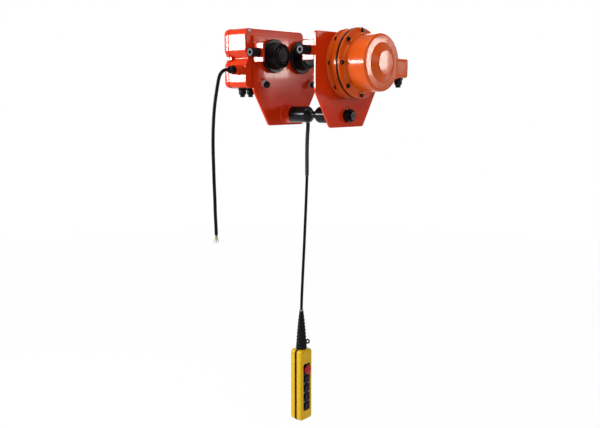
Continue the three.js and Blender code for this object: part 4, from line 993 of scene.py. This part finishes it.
class TROLLEY_OT_pendant_boot(Operator):
    """Mould the ribbed bend-relief boot, its pale clamp ring and the lanyard loop"""

    bl_idname = "trolley.pendant_boot"
    bl_label = "Pendant boot"

    def execute(self, context):
        at = seat("pendant_boot", "Z", 0)
        foot, top = (corner[2] for corner in box("pendant_boot"))
        s = np.linspace(0, 1, 220)
        height = foot + 20 + (top - foot - 20) * s
        belly = np.interp(height - foot, [0, 18, 42, 78, 122, 168], [23, 23, 21.5, 19, 15, 9.5])
        wave = np.sin(2 * np.pi * 10 * s)
        ribs = 0.8 * np.sign(wave) * np.abs(wave) ** 0.4 * np.clip((0.9 - s) * 12, 0, 1)
        boot = lathe([(6.5, foot), (22.2, foot), (23, foot + 1), (23, foot + 15), (22.2, foot + 17),
                      (20, foot + 17.6), (20, foot + 19.4), *zip(belly - 1.1 + ribs, height), (6.5, top)],
                     "Z", at, 72, wrap=True)
        clamp = lathe([(6.3, top - 0.5), (8.8, top - 0.5), (9.2, top + 0.6), (9.2, top + 3), (8.6, top + 3.8),
                       (6.3, top + 3.8)], "Z", at, 48, wrap=True)
        a = np.arange(56)[:, None] / 56 * 2 * np.pi
        out, across, up = np.array([0.7358, 0.6773, 0]), (0.6773, -0.7358, 0), np.array([0, 0, 1])
        loop = at + up * (foot + 31) + out * 26.5 + 6.6 * (np.cos(a) * out + 1.15 * np.sin(a) * up)
        hook = sweep(loop, 3.5, across, 14, wrap=True)
        piece("pendant_boot_ribbed", {RUBBER: [boot, hook]}, "trolley", ["pendant_boot"],
              sharp=50)
        piece("pendant_boot_clamp", {GREY: [clamp]}, "trolley")
        return {"FINISHED"}


class TROLLEY_OT_push_buttons(Operator):
    """Mould the four push buttons and the mushroom-headed emergency stop"""

    bl_idname = "trolley.push_buttons"
    bl_label = "Push buttons"

    def execute(self, context):
        for name in BUTTONS:
            foot, tip = (corner[0] for corner in box(name))
            shell = lathe([(2, foot), (14.5, foot), (14.5, foot + 5), (13, foot + 5), (13, tip - 2.6),
                           (12.6, tip - 1.2), (11.6, tip - 0.3), (10.6, tip), (9.4, tip - 0.5),
                           (5, tip - 1.1), (1, tip - 1.3)], "X", seat(name, "X", 0), 64)
            piece(f"{name}_cap", {NYLON: [shell]}, name, [name])
        low, high = box("emergency_stop")
        foot, tip, head = low[0], high[0], (high[2] - low[2]) / 2
        cap = tip - 9
        t = np.linspace(0, 1, 9) * np.pi / 2
        dome = zip(head - 12 * (1 - np.cos(t)), tip - 5 + 4.8 * np.sin(t))
        shell = lathe([(2, foot), (9.5, foot), (9.5, foot + 5), (8, foot + 5), (8, cap), (head - 1, cap),
                       (head - 0.2, cap + 0.8), (head, cap + 2), *dome, (1, tip)], "X",
                      seat("emergency_stop", "X", 0), 72)
        piece("emergency_stop_mushroom", {STOP_RED: [shell]}, "emergency_stop",
              ["emergency_stop"])
        return {"FINISHED"}


# --- parts that stay as the frame gives them

SLOT_FINISHES = {
    "machined_steel": MACHINED, "wound_core": WINDINGS, "grey_plastic": GREY, "black_steel": BLACKENED,
    "red_enamel": RED, "orange_enamel": ORANGE, "black_rubber": RUBBER, "black_plastic": NYLON,
    "yellow_plastic": YELLOW, "red_plastic": STOP_RED,
}


class TROLLEY_OT_inner_parts(Operator):
    """Give the gears, shafts, bearings and switchgear their own metals and plastics"""

    bl_idname = "trolley.inner_parts"
    bl_label = "Inner parts"

    def execute(self, context):
        slots = {s["node"]: s["material_slot"] for s in frame["record"]["subparts"]}
        for name, obj in frame["nodes"].items():
            obj.data.materials.clear()
            obj.data.materials.append(material(SLOT_FINISHES[slots[name]]))
        return {"FINISHED"}


# --- stage

FLOOR_Z = -1620.0
FLOOR_HALF = 8000.0  # beyond it level faces mirror the darker surroundings
FADE = (1.8, 6.0)  # metres from the origin between which the floor turns full white


def lamp(name, power, size, at, towards, tint=(1, 1, 1)):
    data = bpy.data.lights.new(name, "AREA")
    data.shape = "RECTANGLE"
    data.size, data.size_y = size
    data.energy = power
    data.color = tint
    obj = bpy.data.objects.new(name, data)
    bpy.context.scene.collection.objects.link(obj)
    obj.location = at
    obj.rotation_euler = (Vector(towards) - Vector(at)).to_track_quat("-Z", "Y").to_euler()


def floor_material():
    # Matt white studio floor: it takes the trolley's soft shadow near the middle, and fades to full
    # white far out, so that it has no edge.
    made = bpy.data.materials.new("matt_white_studio_floor")
    tree = empty_tree(made)
    place = add(tree, "TexCoord").outputs["Object"]
    cloud = add(tree, "TexNoise", {"Vector": place, "Scale": 1.25, "Detail": 2.0})
    tone = add(tree, "MapRange", {"Value": cloud.outputs["Fac"], "To Min": 0.86, "To Max": 0.92})
    paper = add(tree, "BsdfDiffuse", {"Color": tone.outputs["Result"]})
    glow = add(tree, "Emission", {"Color": (1, 1, 1, 1), "Strength": 1.0})
    ray = add(tree, "LightPath").outputs
    seen = add(tree, "Math", {0: ray["Is Camera Ray"], 1: ray["Is Glossy Ray"]},
               operation="MAXIMUM")
    seen = add(tree, "Math", {0: seen.outputs[0], 1: ray["Is Transmission Ray"]},
               operation="MAXIMUM")
    away = add(tree, "VectorMath", {0: place}, operation="LENGTH")
    fade = add(tree, "MapRange", {
        "Value": away.outputs["Value"], "From Min": FADE[0], "From Max": FADE[1],
        "To Min": 0.95, "To Max": 1.0})
    share = add(tree, "Math", {0: seen.outputs[0], 1: fade.outputs["Result"]},
                operation="MULTIPLY")
    mix = add(tree, "MixShader", {0: share.outputs[0], 1: paper.outputs[0], 2: glow.outputs[0]})
    add(tree, "OutputMaterial", {"Surface": mix.outputs[0]})
    return made


def studio_world():
    """White to the camera and dim as a light, and a little brighter in reflections."""
    made = bpy.data.worlds.new("studio")
    tree = empty_tree(made)
    ray = add(tree, "LightPath").outputs
    seen = add(tree, "Math", {0: ray["Is Camera Ray"], 1: ray["Is Transmission Ray"]},
               operation="MAXIMUM")
    glossy = add(tree, "Math", {0: ray["Is Glossy Ray"], 1: 0.2}, operation="MULTIPLY")
    seen = add(tree, "Math", {0: seen.outputs[0], 1: glossy.outputs[0]}, operation="MAXIMUM")
    strength = add(tree, "MapRange", {"Value": seen.outputs[0], "To Min": 0.26, "To Max": 1.0})
    background = add(tree, "Background", {
        "Color": (1, 1, 1, 1), "Strength": strength.outputs["Result"]})
    add(tree, "OutputWorld", {"Surface": background.outputs[0]})
    return made


class TROLLEY_OT_stage(Operator):
    """Lay the plain pale floor under the pendant, and set soft studio lamps round the trolley"""

    bl_idname = "trolley.stage"
    bl_label = "Stage"

    def execute(self, context):
        half = FLOOR_HALF
        points, faces = slab(rectangle(-half, half, -half, half, 50), FLOOR_Z - 20, FLOOR_Z, "Z", 1)
        mesh = bpy.data.meshes.new("studio_floor")
        mesh.from_pydata((points * MM).tolist(), [], faces)
        mesh.materials.append(floor_material())
        ground = bpy.data.objects.new("studio_floor", mesh)
        context.scene.collection.objects.link(ground)
        context.scene.world = studio_world()

        lamp("left_softbox", 104, (1.15, 0.5), (-1.88, -2.28, 0.18), (-0.1, -0.1, 0.05))
        lamp("right_panel", 9.5, (0.34, 0.28), (1.97, 2.0, 0.17), (0.2, 0, 0.05), (1.0, 0.93, 0.87))
        lamp("camera_fill", 34, (2.0, 2.0), (3.2, -1.2, 1.2), (0, 0, -0.1))
        lamp("overhead_softbox", 38, (2.0, 2.0), (0.2, -0.8, 2.4), (0, 0, 0))
        lamp("rear_softbox", 36, (2.2, 1.6), (-1.6, 2.8, 0.8), (0, 0, -0.1))
        context.scene.view_settings.view_transform = "Standard"
        return {"FINISHED"}


# --- panel and registration

STEPS = (
    TROLLEY_OT_camera, TROLLEY_OT_inner_parts, TROLLEY_OT_pendant_boot, TROLLEY_OT_cords,
    TROLLEY_OT_side_plates, TROLLEY_OT_suspension_shaft, TROLLEY_OT_wheels, TROLLEY_OT_bumpers,
    TROLLEY_OT_guide_studs, TROLLEY_OT_gearbox, TROLLEY_OT_motor, TROLLEY_OT_terminal_box,
    TROLLEY_OT_control_box, TROLLEY_OT_glands, TROLLEY_OT_pendant, TROLLEY_OT_push_buttons,
    TROLLEY_OT_stage,
)


class TROLLEY_PT_pieces(Panel):
    bl_idname = "TROLLEY_PT_pieces"
    bl_label = "Beam trolley"
    bl_space_type = "VIEW_3D"
    bl_region_type = "UI"
    bl_category = "Trolley"

    def draw(self, context):
        for name in TrolleyLooks.__annotations__:
            self.layout.prop(looks(), name)
        for step in STEPS:
            self.layout.operator(step.bl_idname)


CLASSES = (TrolleyLooks, *STEPS, TROLLEY_PT_pieces)


def register():
    for cls in CLASSES:
        bpy.utils.register_class(cls)
    bpy.types.Scene.trolley_looks = PointerProperty(type=TrolleyLooks)


def unregister():
    del bpy.types.Scene.trolley_looks
    for cls in reversed(CLASSES):
        bpy.utils.unregister_class(cls)


def main():
    register()
    for step in STEPS:
        group, name = step.bl_idname.split(".")
        getattr(getattr(bpy.ops, group), name)()


if __name__ == "__main__":
    main()
